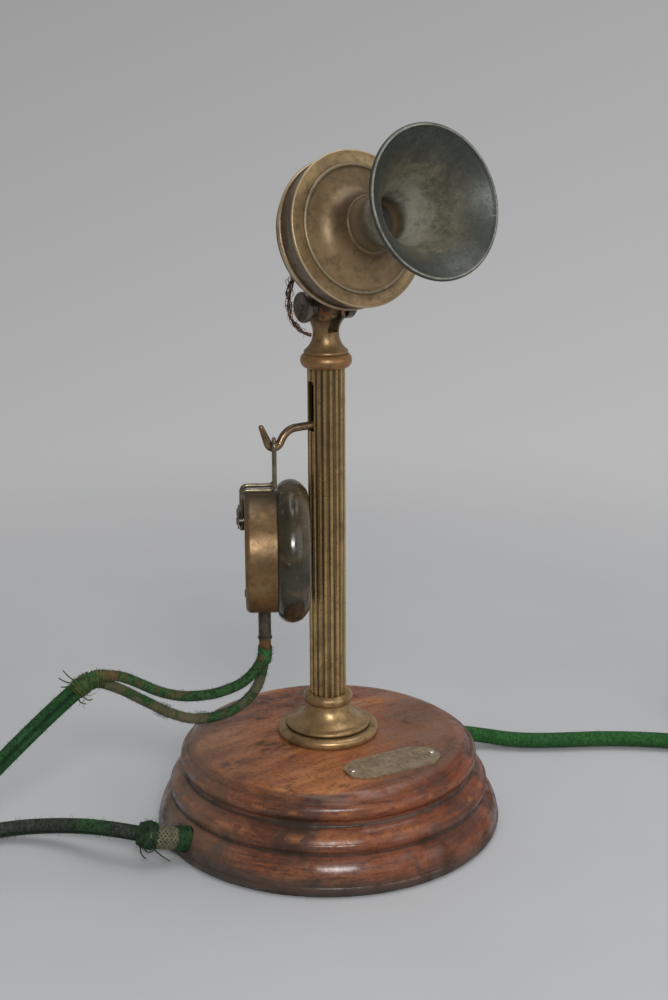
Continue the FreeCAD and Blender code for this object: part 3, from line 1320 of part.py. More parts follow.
# Receiver, in its own frame: +Z out of the ear cap, +Y up, z = 0 on the bail's plane
receiver_height = saddle_height - dim.receiver_drop
receiver_frame = Placement(
    spot(-dim.hook_reach, 0, receiver_height),
    Rotation(Vector(0, 0, 1), 90.0 - dim.receiver_turn.value).multiply(Rotation(Vector(1, 0, 0), 90)),
)
case_inner = dim.case_radius - dim.case_wall
thread_top = dim.case_front + dim.cap_thread
thread_radius = dim.case_radius - 0.8
case_floor = dim.case_wall - dim.case_back
case_shell = turned("case_turning", [
    (0, -dim.case_back),
    (dim.case_radius - dim.case_round, -dim.case_back),
    (dim.case_radius - dim.case_round * 0.29, dim.case_round * 0.29 - dim.case_back, "via"),
    (dim.case_radius, dim.case_round - dim.case_back),
    (dim.case_radius, dim.case_front),
    (thread_radius, dim.case_front),
    (thread_radius, thread_top),
    (case_inner - 0.8, thread_top),
    (case_inner - 0.8, case_floor),
    (0, case_floor),
])
leg_plane = -dim.case_back - dim.bail_wire - 0.1
clamp_low = dim.case_radius - dim.bail_lap + 1.6
clamp_screw_y = clamp_low + dim.clamp_height / 2
clamp_screw_x = dim.bail_half + dim.bail_wire + dim.clamp_screw + 0.3
case_drills = [cylinder(
    "ferrule_seat", dim.ferrule_radius + dim.thread_fit, 6,
    0, -dim.case_radius - 3.0, -dim.ferrule_back, Y_AXIS,
), cylinder(
    "back_screw_drill", dim.clamp_screw + dim.thread_fit, 8, 0, -dim.back_screw_drop, -dim.case_back - 3.0,
)]
clamp_drills = []
clamp_screws = []
clamp_back = -dim.case_back - 2.0 * dim.bail_wire - 0.2 - dim.clamp_thick
for number, side in enumerate((-1, 1)):
    for drills, name in ((case_drills, "case"), (clamp_drills, "clamp")):
        drills.append(cylinder(
            f"{name}_screw_drill_{number}", dim.clamp_screw + dim.thread_fit, 8, side * clamp_screw_x,
            clamp_screw_y, clamp_back - 1.0,
        ))
    clamp_screws.append(screw(
        f"clamp_screw_{number}", dim.clamp_screw_head, dim.clamp_screw_rise, dim.clamp_screw,
        -dim.case_back + dim.case_wall - clamp_back + 0.6,
        facing(side * clamp_screw_x, clamp_screw_y, clamp_back, Vector(0, 0, -1)),
    ))
node(cut("case_body", case_shell, case_drills), "receiver_case", receiver_frame)

cap_face = dim.case_front + dim.cap_thick
cap_half = dim.cap_thick / 2
ear_diaphragm_front = thread_top + dim.ear_diaphragm_thick
node(turned("cap_body", [
    (dim.case_radius + 0.3, dim.case_front + dim.cap_fit),
    (dim.cap_radius - 3.0, dim.case_front + 0.5),
    (dim.cap_radius, dim.case_front + cap_half, "via"),
    (dim.cap_radius - 3.0, cap_face - 1.9),
    (dim.cap_radius - 5.0, cap_face - 0.5, "via"),
    (dim.cap_crest, cap_face),
    (dim.cap_crest * 0.6, cap_face - dim.cap_dish * 0.62, "via"),
    (dim.cap_hole + 0.6, cap_face - dim.cap_dish),
    (dim.cap_hole, cap_face - dim.cap_dish - 0.6),
    (dim.cap_hole, ear_diaphragm_front + 0.8),
    (case_inner - 2.4, ear_diaphragm_front + 0.8),
    (case_inner - 2.4, ear_diaphragm_front),
    (thread_radius + dim.cap_fit, ear_diaphragm_front),
    (thread_radius + dim.cap_fit, dim.case_front + dim.cap_fit),
]), "ear_cap", receiver_frame)
node(cylinder(
    "ear_diaphragm_disc", thread_radius - 0.2, dim.ear_diaphragm_thick, 0, 0, thread_top,
), "receiver_diaphragm", receiver_frame)
magnet_front = case_floor + dim.magnet_thick
magnet_cuts = [
    cylinder("magnet_middle", dim.magnet_inner, dim.magnet_thick, 0, 0, case_floor),
    box(
        "magnet_opening", dim.magnet_gap, dim.magnet_outer + 1.0, dim.magnet_thick,
        -dim.magnet_gap / 2, 0, case_floor,
    ),
    cylinder(
        "magnet_tap", dim.clamp_screw + dim.thread_fit, 4, 0, -dim.back_screw_drop, case_floor - 1.0,
    ),
]
node(cut("magnet_body", cylinder(
    "magnet_disc", dim.magnet_outer, dim.magnet_thick, 0, 0, case_floor,
), magnet_cuts), "receiver_magnet", receiver_frame)
pole_top = thread_top - dim.pole_air
pole_arm = dim.magnet_inner + 3.0
poles = []
bobbins = []
bobbin_base = magnet_front + dim.pole_depth
for number, side in enumerate((-1, 1)):
    start = dim.pole_spacing - dim.pole_depth / 2
    arm = box(
        f"pole_arm_{number}", pole_arm - start, dim.pole_width, dim.pole_depth,
        start if side > 0 else -pole_arm, -dim.pole_width / 2, magnet_front,
    )
    stub = box(
        f"pole_stub_{number}", dim.pole_depth, dim.pole_width, pole_top - magnet_front,
        start if side > 0 else -start - dim.pole_depth, -dim.pole_width / 2, magnet_front,
    )
    poles.append(fuse(f"pole_{number}", [arm, stub]))
    bobbin_corner = start if side > 0 else -start - dim.pole_depth
    bobbin_corner = bobbin_corner - dim.bobbin_flange - 0.1
    coil_block = box(
        f"bobbin_block_{number}", dim.pole_depth + 2.0 * dim.bobbin_flange + 0.2,
        dim.pole_width + 2.0 * dim.bobbin_flange + 0.2, pole_top - bobbin_base - 1.0,
        bobbin_corner, -dim.pole_width / 2 - dim.bobbin_flange - 0.1, bobbin_base,
    )
    coil_hole = box(
        f"bobbin_hole_{number}", dim.pole_depth + 0.2, dim.pole_width + 0.2, pole_top - bobbin_base,
        (start if side > 0 else -start - dim.pole_depth) - 0.1, -dim.pole_width / 2 - 0.1, bobbin_base - 0.5,
    )
    bobbins.append(cut(f"bobbin_{number}", coil_block, [coil_hole]))
node(group("pole_group", poles), "pole_pieces", receiver_frame)
node(group("bobbin_group", bobbins), "receiver_coils", receiver_frame)
clamp_screws.append(screw(
    "back_screw", dim.clamp_screw_head, dim.clamp_screw_rise, dim.clamp_screw, dim.case_wall + 2.6,
    facing(0, -dim.back_screw_drop, -dim.case_back, Vector(0, 0, -1)),
))

bail_top = dim.receiver_drop + dim.hook_wire + dim.bail_rest + dim.bail_wire
bail_over = dim.case_radius + dim.bail_clear + dim.bail_wire
bail_low = dim.case_radius - dim.bail_lap
bail_loop = pipe("bail_wire_body", local_points([
    (-dim.bail_half, bail_low, leg_plane),
    (-dim.bail_half, bail_over, leg_plane),
    (-dim.bail_half, bail_over, 0),
    (-dim.bail_half, bail_top, 0),
    (dim.bail_half, bail_top, 0),
    (dim.bail_half, bail_over, 0),
    (dim.bail_half, bail_over, leg_plane),
    (dim.bail_half, bail_low, leg_plane),
]), dim.bail_wire.value, [dim.bail_bend.value] * 6)
node(bail_loop, "receiver_bail", receiver_frame)
node(cut("clamp_body", fuse("clamp_solid", [
    box(
        "clamp_plate", dim.clamp_width, dim.clamp_height, dim.clamp_thick,
        -dim.clamp_width / 2, clamp_low, clamp_back,
    ),
    box(
        "clamp_key", 2.0 * dim.bail_half - 2.0 * dim.bail_wire - 0.6, dim.clamp_height,
        2.0 * dim.bail_wire + 0.2, -dim.bail_half + dim.bail_wire + 0.3, clamp_low,
        clamp_back + dim.clamp_thick,
    ),
]), clamp_drills), "bail_clamp", receiver_frame)
node(group("clamp_screw_group", clamp_screws), "receiver_screws", receiver_frame)
ferrule_top = dim.case_radius - dim.case_wall - 0.6
ferrule_reach = dim.ferrule_length + dim.case_radius - ferrule_top
ferrule_base = -ferrule_top - ferrule_reach
node(cut("ferrule_body", fuse("ferrule_solid", [
    cylinder("ferrule_tube", dim.ferrule_radius, ferrule_reach, 0, ferrule_base, -dim.ferrule_back, Y_AXIS),
    cylinder("ferrule_bead", dim.ferrule_radius + 0.35, 0.9, 0, ferrule_base, -dim.ferrule_back, Y_AXIS),
]), [cylinder(
    "ferrule_hole", dim.ferrule_bore, ferrule_reach, 0, ferrule_base, -dim.ferrule_back, Y_AXIS,
)]), "cord_ferrule", receiver_frame)
binding_base = ferrule_base - dim.binding_length
node(cylinder(
    "binding_body", dim.ferrule_radius - 0.1, dim.binding_length, 0, binding_base, -dim.ferrule_back, Y_AXIS,
), "cord_binding", receiver_frame)

# Receiver cord: two branches from the binding, tied together, then one cord to the base
binding_end = receiver_frame.multVec(spot(0, binding_base, -dim.ferrule_back))
branch_drop = dim.branch_radius.value + 0.3
viewer_side = Vector(-0.574, -0.819, 0)
upper_start = binding_end + viewer_side * branch_drop
lower_start = binding_end - viewer_side * branch_drop
cord("receiver_cord_branch_a", [
    (upper_start.x, upper_start.y, upper_start.z - 1.0),
    (-35.8, 0.8, 78.0),
    (-41.4, 2.6, 72.8),
    (-48.8, 5.4, 69.6),
    (-58.2, 9.0, 68.2),
    (-68.4, 12.9, 69.2),
    (-77.4, 16.4, 72.9),
    (-86.0, 20.0, 78.6),
    (-93.6, 22.9, 81.8),
    (-99.4, 25.2, 81.6),
], dim.branch_radius.value)
cord("receiver_cord_branch_b", [
    (lower_start.x, lower_start.y, lower_start.z - 0.3),
    (lower_start.x - 0.5, lower_start.y + 0.3, lower_start.z - 7.8),
    (-33.4, 5.0, 67.2),
    (-39.2, 7.2, 60.6),
    (-48.2, 10.6, 56.2),
    (-58.0, 14.4, 55.4),
    (-67.6, 18.0, 58.6),
    (-77.2, 21.6, 65.2),
    (-86.0, 24.9, 71.4),
    (-92.4, 27.3, 75.4),
    (-97.0, 29.0, 77.0),
], dim.branch_radius.value)
# The points beyond the tie and those of the line cord are counted from the base's edge
edge = dim.base_radius.value
cord("receiver_cord", [
    (-101.6, 28.4, 79.4),
    (-109.6, 31.2, 73.0),
    (-121.6, 35.6, 62.0),
    (-137.0, 41.2, 47.0),
    (-edge - 80.0, 46.2, 29.0),
    (-edge - 103.0, 50.0, 13.4),
    (-edge - 129.0, 55.2, 5.2),
    (-edge - 155.0, 56.0, 4.0),
    (-edge - 176.6, 45.4, 4.0),
    (-edge - 181.4, 22.6, 4.0),
    (-edge - 166.6, 2.6, 4.0),
    (-edge - 142.0, -3.4, 4.0),
    (-edge - 119.4, 10.4, 4.0),
    (-edge - 103.4, 32.6, 4.0),
    (-edge - 87.6, 55.0, 4.0),
    (-edge - 72.8, 64.6, 4.0),
    (-edge - 57.4, 64.2, 4.6),
    (-edge - 45.2, 56.8, 6.0),
    (-edge - 35.8, 46.6, 8.0),
    (-edge - 30.2, 36.0, 10.6),
    (-edge - 26.2, 26.2, 12.9),
    (-edge - 22.2, 16.6, 14.6),
    (-edge - 15.6, 8.0, 14.4),
    (-edge - 5.6, 1.4, 11.6),
    (1.0 - cord_entry, 0, dim.cord_hole_height),
], dim.receiver_cord_radius.value)


def sleeve_on_cord(label, first, last, radius, thick, length):
    """A sleeve or a thread whipping round a straight run of a cord."""
    start = spot(*first)
    along = spot(*last) - start
    feature = doc.addObject("Part::Feature", label)
    outer = Part.makeCylinder(radius + thick, length, start, along)
    feature.Shape = outer.cut(Part.makeCylinder(radius + 0.05, length, start, along))
    return node(feature, label)


sleeve_on_cord(
    "receiver_cord_tie", (-102.2, 28.6, 78.9), (-109.6, 31.2, 73.0),
    dim.receiver_cord_radius.value, dim.tie_thick.value, dim.tie_length.value,
)
sleeve_on_cord(
    "receiver_cord_sleeve", (1.0 - cord_entry, 0, dim.cord_hole_height), (-edge - 5.6, 1.4, 11.6),
    dim.receiver_cord_radius.value, dim.cord_sleeve_thick.value, dim.cord_sleeve_length.value,
)

# Line cord: out of the base's side, along the table and into a tied coil with terminals at its end
line_height = dim.line_cord_radius + dim.cord_lift
mouth = line_out * cord_entry.value
coil_outer = dim.coil_inner + dim.coil_pitch * math.hypot(dim.coil_turns_in.value, 0.25)
coil_middle = spot(dim.base_radius + dim.coil_out, dim.coil_y, line_height)


def coil_point(turn):
    """A point of the coil, counted in turns from where the spiral reverses."""
    radius = dim.coil_inner.value + dim.coil_pitch.value * math.hypot(turn, 0.25)
    share = min(max(2 * turn + 0.5, 0.0), 1.0)
    climb = dim.coil_layer.value * share * share * (3 - 2 * share)
    angle = math.radians(dim.coil_start_turn.value) + 2 * math.pi * (turn + dim.coil_turns_in.value)
    return coil_middle + Vector(radius * math.cos(angle), radius * math.sin(angle), climb)


def coil_heading(turn):
    step = 0.0005
    return (coil_point(turn + step) - coil_point(turn - step)).normalize()


def corner_arc(start, corner, finish):
    """The arc that touches two equal legs of a corner."""
    chord_middle = (start + finish) / 2
    half_chord = (finish - start).Length / 2
    rise = corner - chord_middle
    angle = math.atan2(rise.Length, half_chord)
    crown = chord_middle + rise.normalize() * half_chord * math.tan(angle / 2)
    return Part.Arc(start, crown, finish).toShape()


def biarc(start, heading, finish, end_heading):
    """Two tangent arcs between two points with given headings."""
    chord = finish - start
    both = heading + end_heading
    slack = 2 * (1 - heading.dot(end_heading))
    reach = (math.sqrt(chord.dot(both) ** 2 + slack * chord.dot(chord)) - chord.dot(both)) / slack
    first = start + heading * reach
    second = finish - end_heading * reach
    joint = (first + second) / 2
    return [corner_arc(start, first, joint), corner_arc(joint, second, finish)]


coil_edges = []
quarter_count = round(4 * (dim.coil_turns_in.value + dim.coil_turns_out.value))
coil_stations = []
for quarter in range(quarter_count + 1):
    share = quarter / quarter_count
    all_turns = dim.coil_turns_in.value + dim.coil_turns_out.value
    coil_stations.append(share * all_turns - dim.coil_turns_in.value)
for here, there in zip(coil_stations, coil_stations[1:]):
    coil_edges += biarc(coil_point(here), coil_heading(here), coil_point(there), coil_heading(there))
coil_start = coil_point(coil_stations[0])
coil_end = coil_point(coil_stations[-1])
lead_in = coil_heading(coil_stations[0]) * (2 * dim.line_cord_radius.value)
tail_points = [coil_end, coil_end + coil_heading(coil_stations[-1]) * 9.0] + local_points([
    (edge + 225.0, -28.6, 12.2),
    (edge + 223.6, -19.4, 8.8),
    (edge + 218.2, -11.4, 5.4),
    (edge + 210.8, -5.2, line_height),
])
coil_edges.insert(0, Part.LineSegment(coil_start - lead_in, coil_start).toShape())
coil_edges += rounded_path(tail_points, limp_bends(tail_points))[0].Edges
coil_wire = Part.Wire(coil_edges)
coil_feature = doc.addObject("Part::Feature", "coil_tube")
coil_feature.Shape = swept(coil_wire, coil_start - lead_in, lead_in, dim.line_cord_radius.value)
check_tube("line_cord_coil", coil_feature.Shape, dim.line_cord_radius.value, coil_wire.Length)
node(coil_feature, "line_cord_coil")
samples = coil_wire.discretize(Distance=2.0)
closest = min(
    (first - second).Length
    for index, first in enumerate(samples)
    for second in samples[index + 20:]
)
coil_gap = closest - 2 * dim.line_cord_radius.value
print("line_cord_coil length", round(coil_wire.Length, 1), "least gap to itself", round(coil_gap, 2))
if coil_gap < 0.4:
    raise ValueError("the coil's turns are too close")

join = coil_start - lead_in
approach = join - lead_in * 2.0
cord("line_cord", [
    (mouth.x, mouth.y, dim.cord_hole_height),
    (edge + 6.0, 23.5, 9.2),
    (edge + 18.0, 21.6, 7.6),
    (edge + 28.0, 14.4, 5.8),
    (edge + 37.0, 5.0, 4.8),
    (edge + 48.0, -3.6, line_height),
    (edge + 60.0, -11.0, line_height),
    (edge + 74.6, -19.6, line_height),
    (edge + 90.0, -31.6, line_height),
    (edge + 105.0, -46.4, line_height),
    (approach.x, approach.y, approach.z),
    (join.x, join.y, join.z),
], dim.line_cord_radius.value)
end_start = tail_points[-1]
end_way = (end_start - tail_points[-2]).normalize()
end_radius = dim.line_cord_radius.value
sleeve = doc.addObject("Part::Feature", "end_sleeve")
sleeve_start = end_start - end_way * (dim.end_ferrule_length.value - 1.2)
sleeve_outer = Part.makeCylinder(
    end_radius + dim.end_ferrule_wall.value, dim.end_ferrule_length.value, sleeve_start, end_way,
)
sleeve.Shape = sleeve_outer.cut(Part.makeCylinder(
    end_radius + 0.02, dim.end_ferrule_length.value, sleeve_start, end_way,
))
node(sleeve, "line_cord_ferrule")
tips = []
across = Vector(0, 0, 1).cross(end_way)
for number, side in enumerate((-1, 0, 1)):
    fan = Rotation(Vector(0, 0, 1), 16.0 * side).multVec(end_way)
    root = end_start + across * (2.2 * side) + end_way * 0.35
    wire_end = root + fan * dim.tip_length.value
    stem = Part.makeCylinder(dim.tip_wire.value, dim.tip_length.value, root, fan)
    length = dim.spade_length.value
    width = dim.spade_width.value
    thick = dim.spade_thick.value
    spade = Part.makeBox(length, width, thick, Vector(-1.0, -width / 2, -thick / 2))
    slot_corner = Vector(2.4, -dim.spade_slot.value / 2, -thick)
    slot = Part.makeBox(length, dim.spade_slot.value, thick * 2, slot_corner)
    spade = spade.cut(slot)
    spade.Placement = Placement(wire_end, Rotation(Vector(1, 0, 0), fan))
    tip = doc.addObject("Part::Feature", f"tip_{number}")
    tip.Shape = stem.fuse(spade)
    tips.append(tip)
node(group("tip_group", tips), "line_cord_terminals")

band_angle = math.radians(300.0)
band_half = dim.coil_tie_width / 2
band_inner = dim.coil_inner - dim.line_cord_radius - 0.6
band_outer = coil_outer + dim.line_cord_radius + 0.6
band_top = dim.cord_lift + 2.0 * dim.line_cord_radius + dim.coil_layer + 0.3
band_frame = Placement(
    spot(dim.base_radius + dim.coil_out, dim.coil_y, 0), Rotation(Vector(0, 0, 1), math.degrees(band_angle)),
)
node(cut("band_body", box(
    "band_outside", band_outer - band_inner + 2.0 * dim.coil_tie_thick, dim.coil_tie_width,
    band_top + dim.coil_tie_thick, band_inner - dim.coil_tie_thick, -band_half, 0,
), [box(
    "band_inside", band_outer - band_inner, dim.coil_tie_width + 2.0, band_top - dim.coil_tie_thick,
    band_inner, -band_half - 1.0, dim.coil_tie_thick,
)]), "line_cord_tie", band_frame)

doc.recompute()
problems = []
for item in doc.Objects:
    if "Invalid" in item.State or "Error" in item.State:
        problems.append(f"{item.Label}: {item.State}")
for item in nodes:
    if item.Shape.isNull() or not item.Shape.isValid():
        problems.append(f"{item.Label}: bad shape")
if problems:
    raise ValueError("; ".join(problems))

os.makedirs("parts", exist_ok=True)
for item in nodes:
    item.Shape.exportStep(f"parts/{item.Label}.step")
print(len(nodes), "nodes written")
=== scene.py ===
import math
from random import Random

import bmesh
import bpy
from mathutils import Matrix, Vector


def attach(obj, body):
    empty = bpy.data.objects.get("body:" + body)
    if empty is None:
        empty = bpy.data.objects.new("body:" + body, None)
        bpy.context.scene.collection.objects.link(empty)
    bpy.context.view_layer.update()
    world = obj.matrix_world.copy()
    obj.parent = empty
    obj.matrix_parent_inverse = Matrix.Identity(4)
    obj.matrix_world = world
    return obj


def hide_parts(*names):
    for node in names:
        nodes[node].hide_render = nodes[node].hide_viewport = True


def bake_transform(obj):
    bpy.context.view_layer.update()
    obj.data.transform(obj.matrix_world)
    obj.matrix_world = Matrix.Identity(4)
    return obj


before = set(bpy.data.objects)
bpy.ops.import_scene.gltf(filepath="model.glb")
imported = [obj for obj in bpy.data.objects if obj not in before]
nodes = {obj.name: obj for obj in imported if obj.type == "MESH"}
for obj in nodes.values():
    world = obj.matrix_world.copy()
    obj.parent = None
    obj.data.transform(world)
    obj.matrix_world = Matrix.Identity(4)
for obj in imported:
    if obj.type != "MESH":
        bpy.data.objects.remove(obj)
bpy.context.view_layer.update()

scene = bpy.context.scene
scene.view_settings.view_transform = "Standard"

# Camera: at the telephone's left front, a little above the mouthpiece's rim, looking
# 15.7 degrees down with a lens of 57.6 mm on a frame 36 mm high.
view_away = Vector((0.57358, 0.81915, 0.0))
view_pitch = math.radians(15.69)
view_roll = math.radians(-0.27)
camera_spot = Vector((-0.37407, -0.53951, 0.3313))
look = view_away * math.cos(view_pitch) - Vector((0.0, 0.0, math.sin(view_pitch)))
flat_right = Vector((0.81915, -0.57358, 0.0))
flat_up = flat_right.cross(look)
frame_right = flat_right * math.cos(view_roll) + flat_up * math.sin(view_roll)
frame_up = flat_up * math.cos(view_roll) - flat_right * math.sin(view_roll)
photo_lens = bpy.data.cameras.new("photo_camera")
photo_lens.sensor_fit = "VERTICAL"
photo_lens.sensor_height = 36.0
photo_lens.lens = 57.6
photo_camera = bpy.data.objects.new("photo_camera", photo_lens)
camera_turn = Matrix((frame_right, frame_up, -look)).transposed().to_4x4()
photo_camera.matrix_world = Matrix.Translation(camera_spot) @ camera_turn
scene.collection.objects.link(photo_camera)
scene.camera = photo_camera

# Studio: a pale cloth underneath that fades into a grey surround, darker behind the camera,
# one small lamp close to the camera, a broad soft one overhead and a weak one on the right.


def fill(tree, node, sockets):
    """Each socket of a node set to a value, or joined to another node's output."""
    for name, value in sockets.items():
        if isinstance(value, bpy.types.NodeSocket):
            tree.links.new(value, node.inputs[name])
        else:
            node.inputs[name].default_value = value


def add(tree, kind, sockets=None, **settings):
    """A new node in a tree, with its settings made before its sockets are filled."""
    made = tree.nodes.new(kind)
    for name, value in settings.items():
        setattr(made, name, value)
    fill(tree, made, sockets or {})
    return made


def maths(tree, operation, first, second=0.0, third=0.0):
    """The result of one Math node."""
    return add(tree, "ShaderNodeMath", {0: first, 1: second, 2: third}, operation=operation).outputs[0]


def times(tree, *values):
    """The product of several values."""
    product = values[0]
    for value in values[1:]:
        product = maths(tree, "MULTIPLY", product, value)
    return product


def plus(tree, base, value, share=1.0):
    """A value with a share of another added to it."""
    return maths(tree, "MULTIPLY_ADD", value, share, base)


def vectors(tree, operation, first, second=(0.0, 0.0, 0.0)):
    """The result of one Vector Math node: a number from a dot product or a length, else a vector."""
    made = add(tree, "ShaderNodeVectorMath", {0: first, 1: second}, operation=operation)
    return made.outputs["Value" if operation in ("DOT_PRODUCT", "LENGTH") else "Vector"]


def split(tree, vector):
    """The X, Y and Z of a vector."""
    return add(tree, "ShaderNodeSeparateXYZ", {0: vector}).outputs


def mixed(tree, share, first, second, how="MIX"):
    """Two colours mixed by a share. A colour is a node's output, or its red, green and blue."""
    first, second = [(*colour, 1.0) if isinstance(colour, tuple) else colour for colour in (first, second)]
    mix = add(tree, "ShaderNodeMix", {0: share, 6: first, 7: second}, data_type="RGBA", blend_type=how)
    return mix.outputs[2]


def stepped(tree, value, low, high, first=0.0, last=1.0):
    """A value eased from first to last as it goes from low to high."""
    eased = add(
        tree, "ShaderNodeMapRange", {0: value, 1: low, 2: high, 3: first, 4: last},
        interpolation_type="SMOOTHSTEP",
    )
    return eased.outputs[0]


def object_place(tree):
    """A piece's own Object coordinates."""
    return add(tree, "ShaderNodeTexCoord").outputs["Object"]


def noise(tree, place, size, detail=4.0, rough=0.55, twist=0.0):
    """A noise value over the surface, with features of about one over size metres."""
    cloud = add(tree, "ShaderNodeTexNoise", {
        "Vector": place, "Scale": size, "Detail": detail, "Roughness": rough, "Distortion": twist,
    })
    return cloud.outputs[0]


def mesh_from(shape, name):
    """A new mesh that takes up a shape's faces."""
    mesh = bpy.data.meshes.new(name)
    shape.to_mesh(mesh)
    shape.free()
    return mesh


world = bpy.data.worlds.new("grey_room")
scene.world = world
world.use_nodes = True
room = world.node_tree
room.nodes.clear()
ray = add(room, "ShaderNodeLightPath").outputs
seen = maths(room, "MAXIMUM", ray["Is Camera Ray"], ray["Is Transmission Ray"])
seen = maths(room, "MAXIMUM", seen, ray["Is Glossy Ray"])
room_way = add(room, "ShaderNodeTexCoord").outputs["Generated"]
to_front = vectors(room, "DOT_PRODUCT", room_way, -view_away)
to_right = vectors(room, "DOT_PRODUCT", room_way, flat_right)
grey = plus(room, 0.373, to_right, 0.135)
grey = plus(room, grey, split(room, room_way)["Z"], -0.36)
grey = maths(room, "MINIMUM", maths(room, "MAXIMUM", grey, 0.2), 0.5)
grey = times(room, grey, stepped(room, to_front, -0.4, 0.5, 1.0, 0.45))
lit_air = add(room, "ShaderNodeBackground", {"Color": (0.95, 0.97, 1.0, 1.0), "Strength": 0.42})
seen_air = add(room, "ShaderNodeBackground", {"Color": (0.995, 0.995, 1.0, 1.0), "Strength": grey})
air = add(room, "ShaderNodeMixShader", {0: seen, 1: lit_air.outputs[0], 2: seen_air.outputs[0]})
add(room, "ShaderNodeOutputWorld", {"Surface": air.outputs[0]})

cloth_shape = bmesh.new()
bmesh.ops.create_circle(cloth_shape, cap_ends=True, segments=96, radius=1.5)
cloth_mesh = mesh_from(cloth_shape, "floor")
floor = bpy.data.objects.new("floor", cloth_mesh)
scene.collection.objects.link(floor)
pale_cloth = bpy.data.materials.new("pale_cloth")
pale_cloth.use_nodes = True
ground = pale_cloth.node_tree
ground.nodes.clear()
ground_place = object_place(ground)
creases = noise(ground, ground_place, 9.0, 3.0, 0.5)
cloth_colour = mixed(ground, creases, (0.385, 0.387, 0.392), (0.435, 0.437, 0.442))
cloth_near = add(ground, "ShaderNodeBsdfDiffuse", {"Color": cloth_colour}).outputs[0]
cloth_far = add(ground, "ShaderNodeBsdfTransparent").outputs[0]
fade = stepped(ground, vectors(ground, "LENGTH", ground_place), 0.2, 0.75)
cloth_mix = add(ground, "ShaderNodeMixShader", {0: fade, 1: cloth_near, 2: cloth_far})
add(ground, "ShaderNodeOutputMaterial", {"Surface": cloth_mix.outputs[0]})
cloth_mesh.materials.append(pale_cloth)

lamp_target = Vector((0.0, 0.0, 0.15))
for lamp_name, lamp_right, lamp_front, lamp_up, lamp_distance, lamp_size, lamp_squash, lamp_power in (
    ("key_lamp", 0.12, 1.0, 0.52, 1.25, 0.5, 0.42, 9.0),
    ("fill_lamp", 0.95, 0.6, 0.4, 1.5, 1.2, 1.0, 4.5),
    ("top_lamp", 0.2, -0.1, 1.0, 1.3, 1.1, 1.0, 8.0),
):
    lamp_way = flat_right * lamp_right - view_away * lamp_front + Vector((0.0, 0.0, lamp_up))
    lamp_way.normalize()
    lamp = bpy.data.lights.new(lamp_name, "AREA")
    lamp.shape = "ELLIPSE"
    lamp.size = lamp_size
    lamp.size_y = lamp_size * lamp_squash
    lamp.energy = lamp_power
    lamp_holder = bpy.data.objects.new(lamp_name, lamp)
    lamp_turn = (-lamp_way).to_track_quat("-Z", "Y").to_matrix().to_4x4()
    lamp_holder.matrix_world = Matrix.Translation(lamp_target + lamp_way * lamp_distance) @ lamp_turn
    scene.collection.objects.link(lamp_holder)

# Base: one mahogany turning with a crowned top, a bead, a rounded tier and a flared foot.
# Its varnish is worn through to the wood on the crests, which also carry a painted highlight,
# and dirt has gathered in the grooves: both lie at shares of ring_reach above the table.
# Painted shade deepens the creases, and a painted reflection pales the left side.
ring_reach = 0.0412
side_start = (0.058, 0.0605)


def finish(name):
    """A new material, its node tree and its Principled shader."""
    material = bpy.data.materials.new(name)
    material.use_nodes = True
    tree = material.node_tree
    return material, tree, tree.nodes["Principled BSDF"]


def stretched(tree, place, scale, turn=(0.0, 0.0, 0.0)):
    """Surface coordinates turned, then scaled along each axis."""
    return add(tree, "ShaderNodeMapping", {"Vector": place, "Scale": scale, "Rotation": turn}).outputs[0]


def ramped(tree, value, *stops):
    """A colour ramp through stops of place and colour."""
    ramp = add(tree, "ShaderNodeValToRGB", {0: value})
    while len(ramp.color_ramp.elements) < len(stops):
        ramp.color_ramp.elements.new(0.5)
    for element, (place, colour) in zip(ramp.color_ramp.elements, stops):
        element.position = place
        element.color = (*colour, 1.0)
    return ramp.outputs[0]


def banded(tree, value, *stops):
    """A mask through stops of place and share."""
    return ramped(tree, value, *[(place, (share, share, share)) for place, share in stops])


def bumped(tree, shader, height, strength, depth):
    """A height joined to a shader's normal through a Bump node."""
    bump = add(tree, "ShaderNodeBump", {"Height": height, "Strength": strength, "Distance": depth})
    fill(tree, shader, {"Normal": bump.outputs[0]})


def dress(material, *names):
    """The finish of CAD pieces that keep their own shape."""
    for name in names:
        for held in nodes[name].material_slots:
            held.material = material


def creased(tree, reach, low=0.4, high=0.85):
    """How deep a surface lies in a crease of its own piece, from 0 on open faces to 1."""
    open_share = add(
        tree, "ShaderNodeAmbientOcclusion", {"Distance": reach}, samples=8, only_local=True,
    ).outputs["AO"]
    return stepped(tree, open_share, high, low)


wood, tree, shader = finish("worn_mahogany")
place = object_place(tree)
parts = split(tree, place)
height = parts["Z"]
flat_place = add(tree, "ShaderNodeCombineXYZ", {0: parts["X"], 1: parts["Y"]}).outputs[0]
radius = vectors(tree, "LENGTH", flat_place)
outwards = vectors(tree, "NORMALIZE", flat_place)
upright = add(tree, "ShaderNodeCombineXYZ", {2: height}).outputs[0]
round_place = vectors(tree, "ADD", vectors(tree, "MULTIPLY", outwards, (0.05, 0.05, 0.0)), upright)
leftwards = vectors(tree, "DOT_PRODUCT", place, (-0.82, 0.57, 0.0))
grain_turn = (0.0, 0.0, 0.12)
figure = noise(tree, stretched(tree, place, (10.0, 70.0, 110.0), grain_turn), 1.0, 5.0, 0.6, 0.7)
fibres = noise(tree, stretched(tree, place, (40.0, 520.0, 520.0), grain_turn), 1.0, 6.0, 0.65)
streaks = noise(tree, stretched(tree, round_place, (110.0, 110.0, 1000.0)), 1.0, 7.0, 0.72, 0.3)
patches = noise(tree, place, 30.0, 6.0, 0.62, 0.5)
blots = noise(tree, place, 95.0, 7.0, 0.7, 0.3)
grit = noise(tree, place, 520.0, 5.0, 0.75)
side = stepped(tree, radius, *side_start)
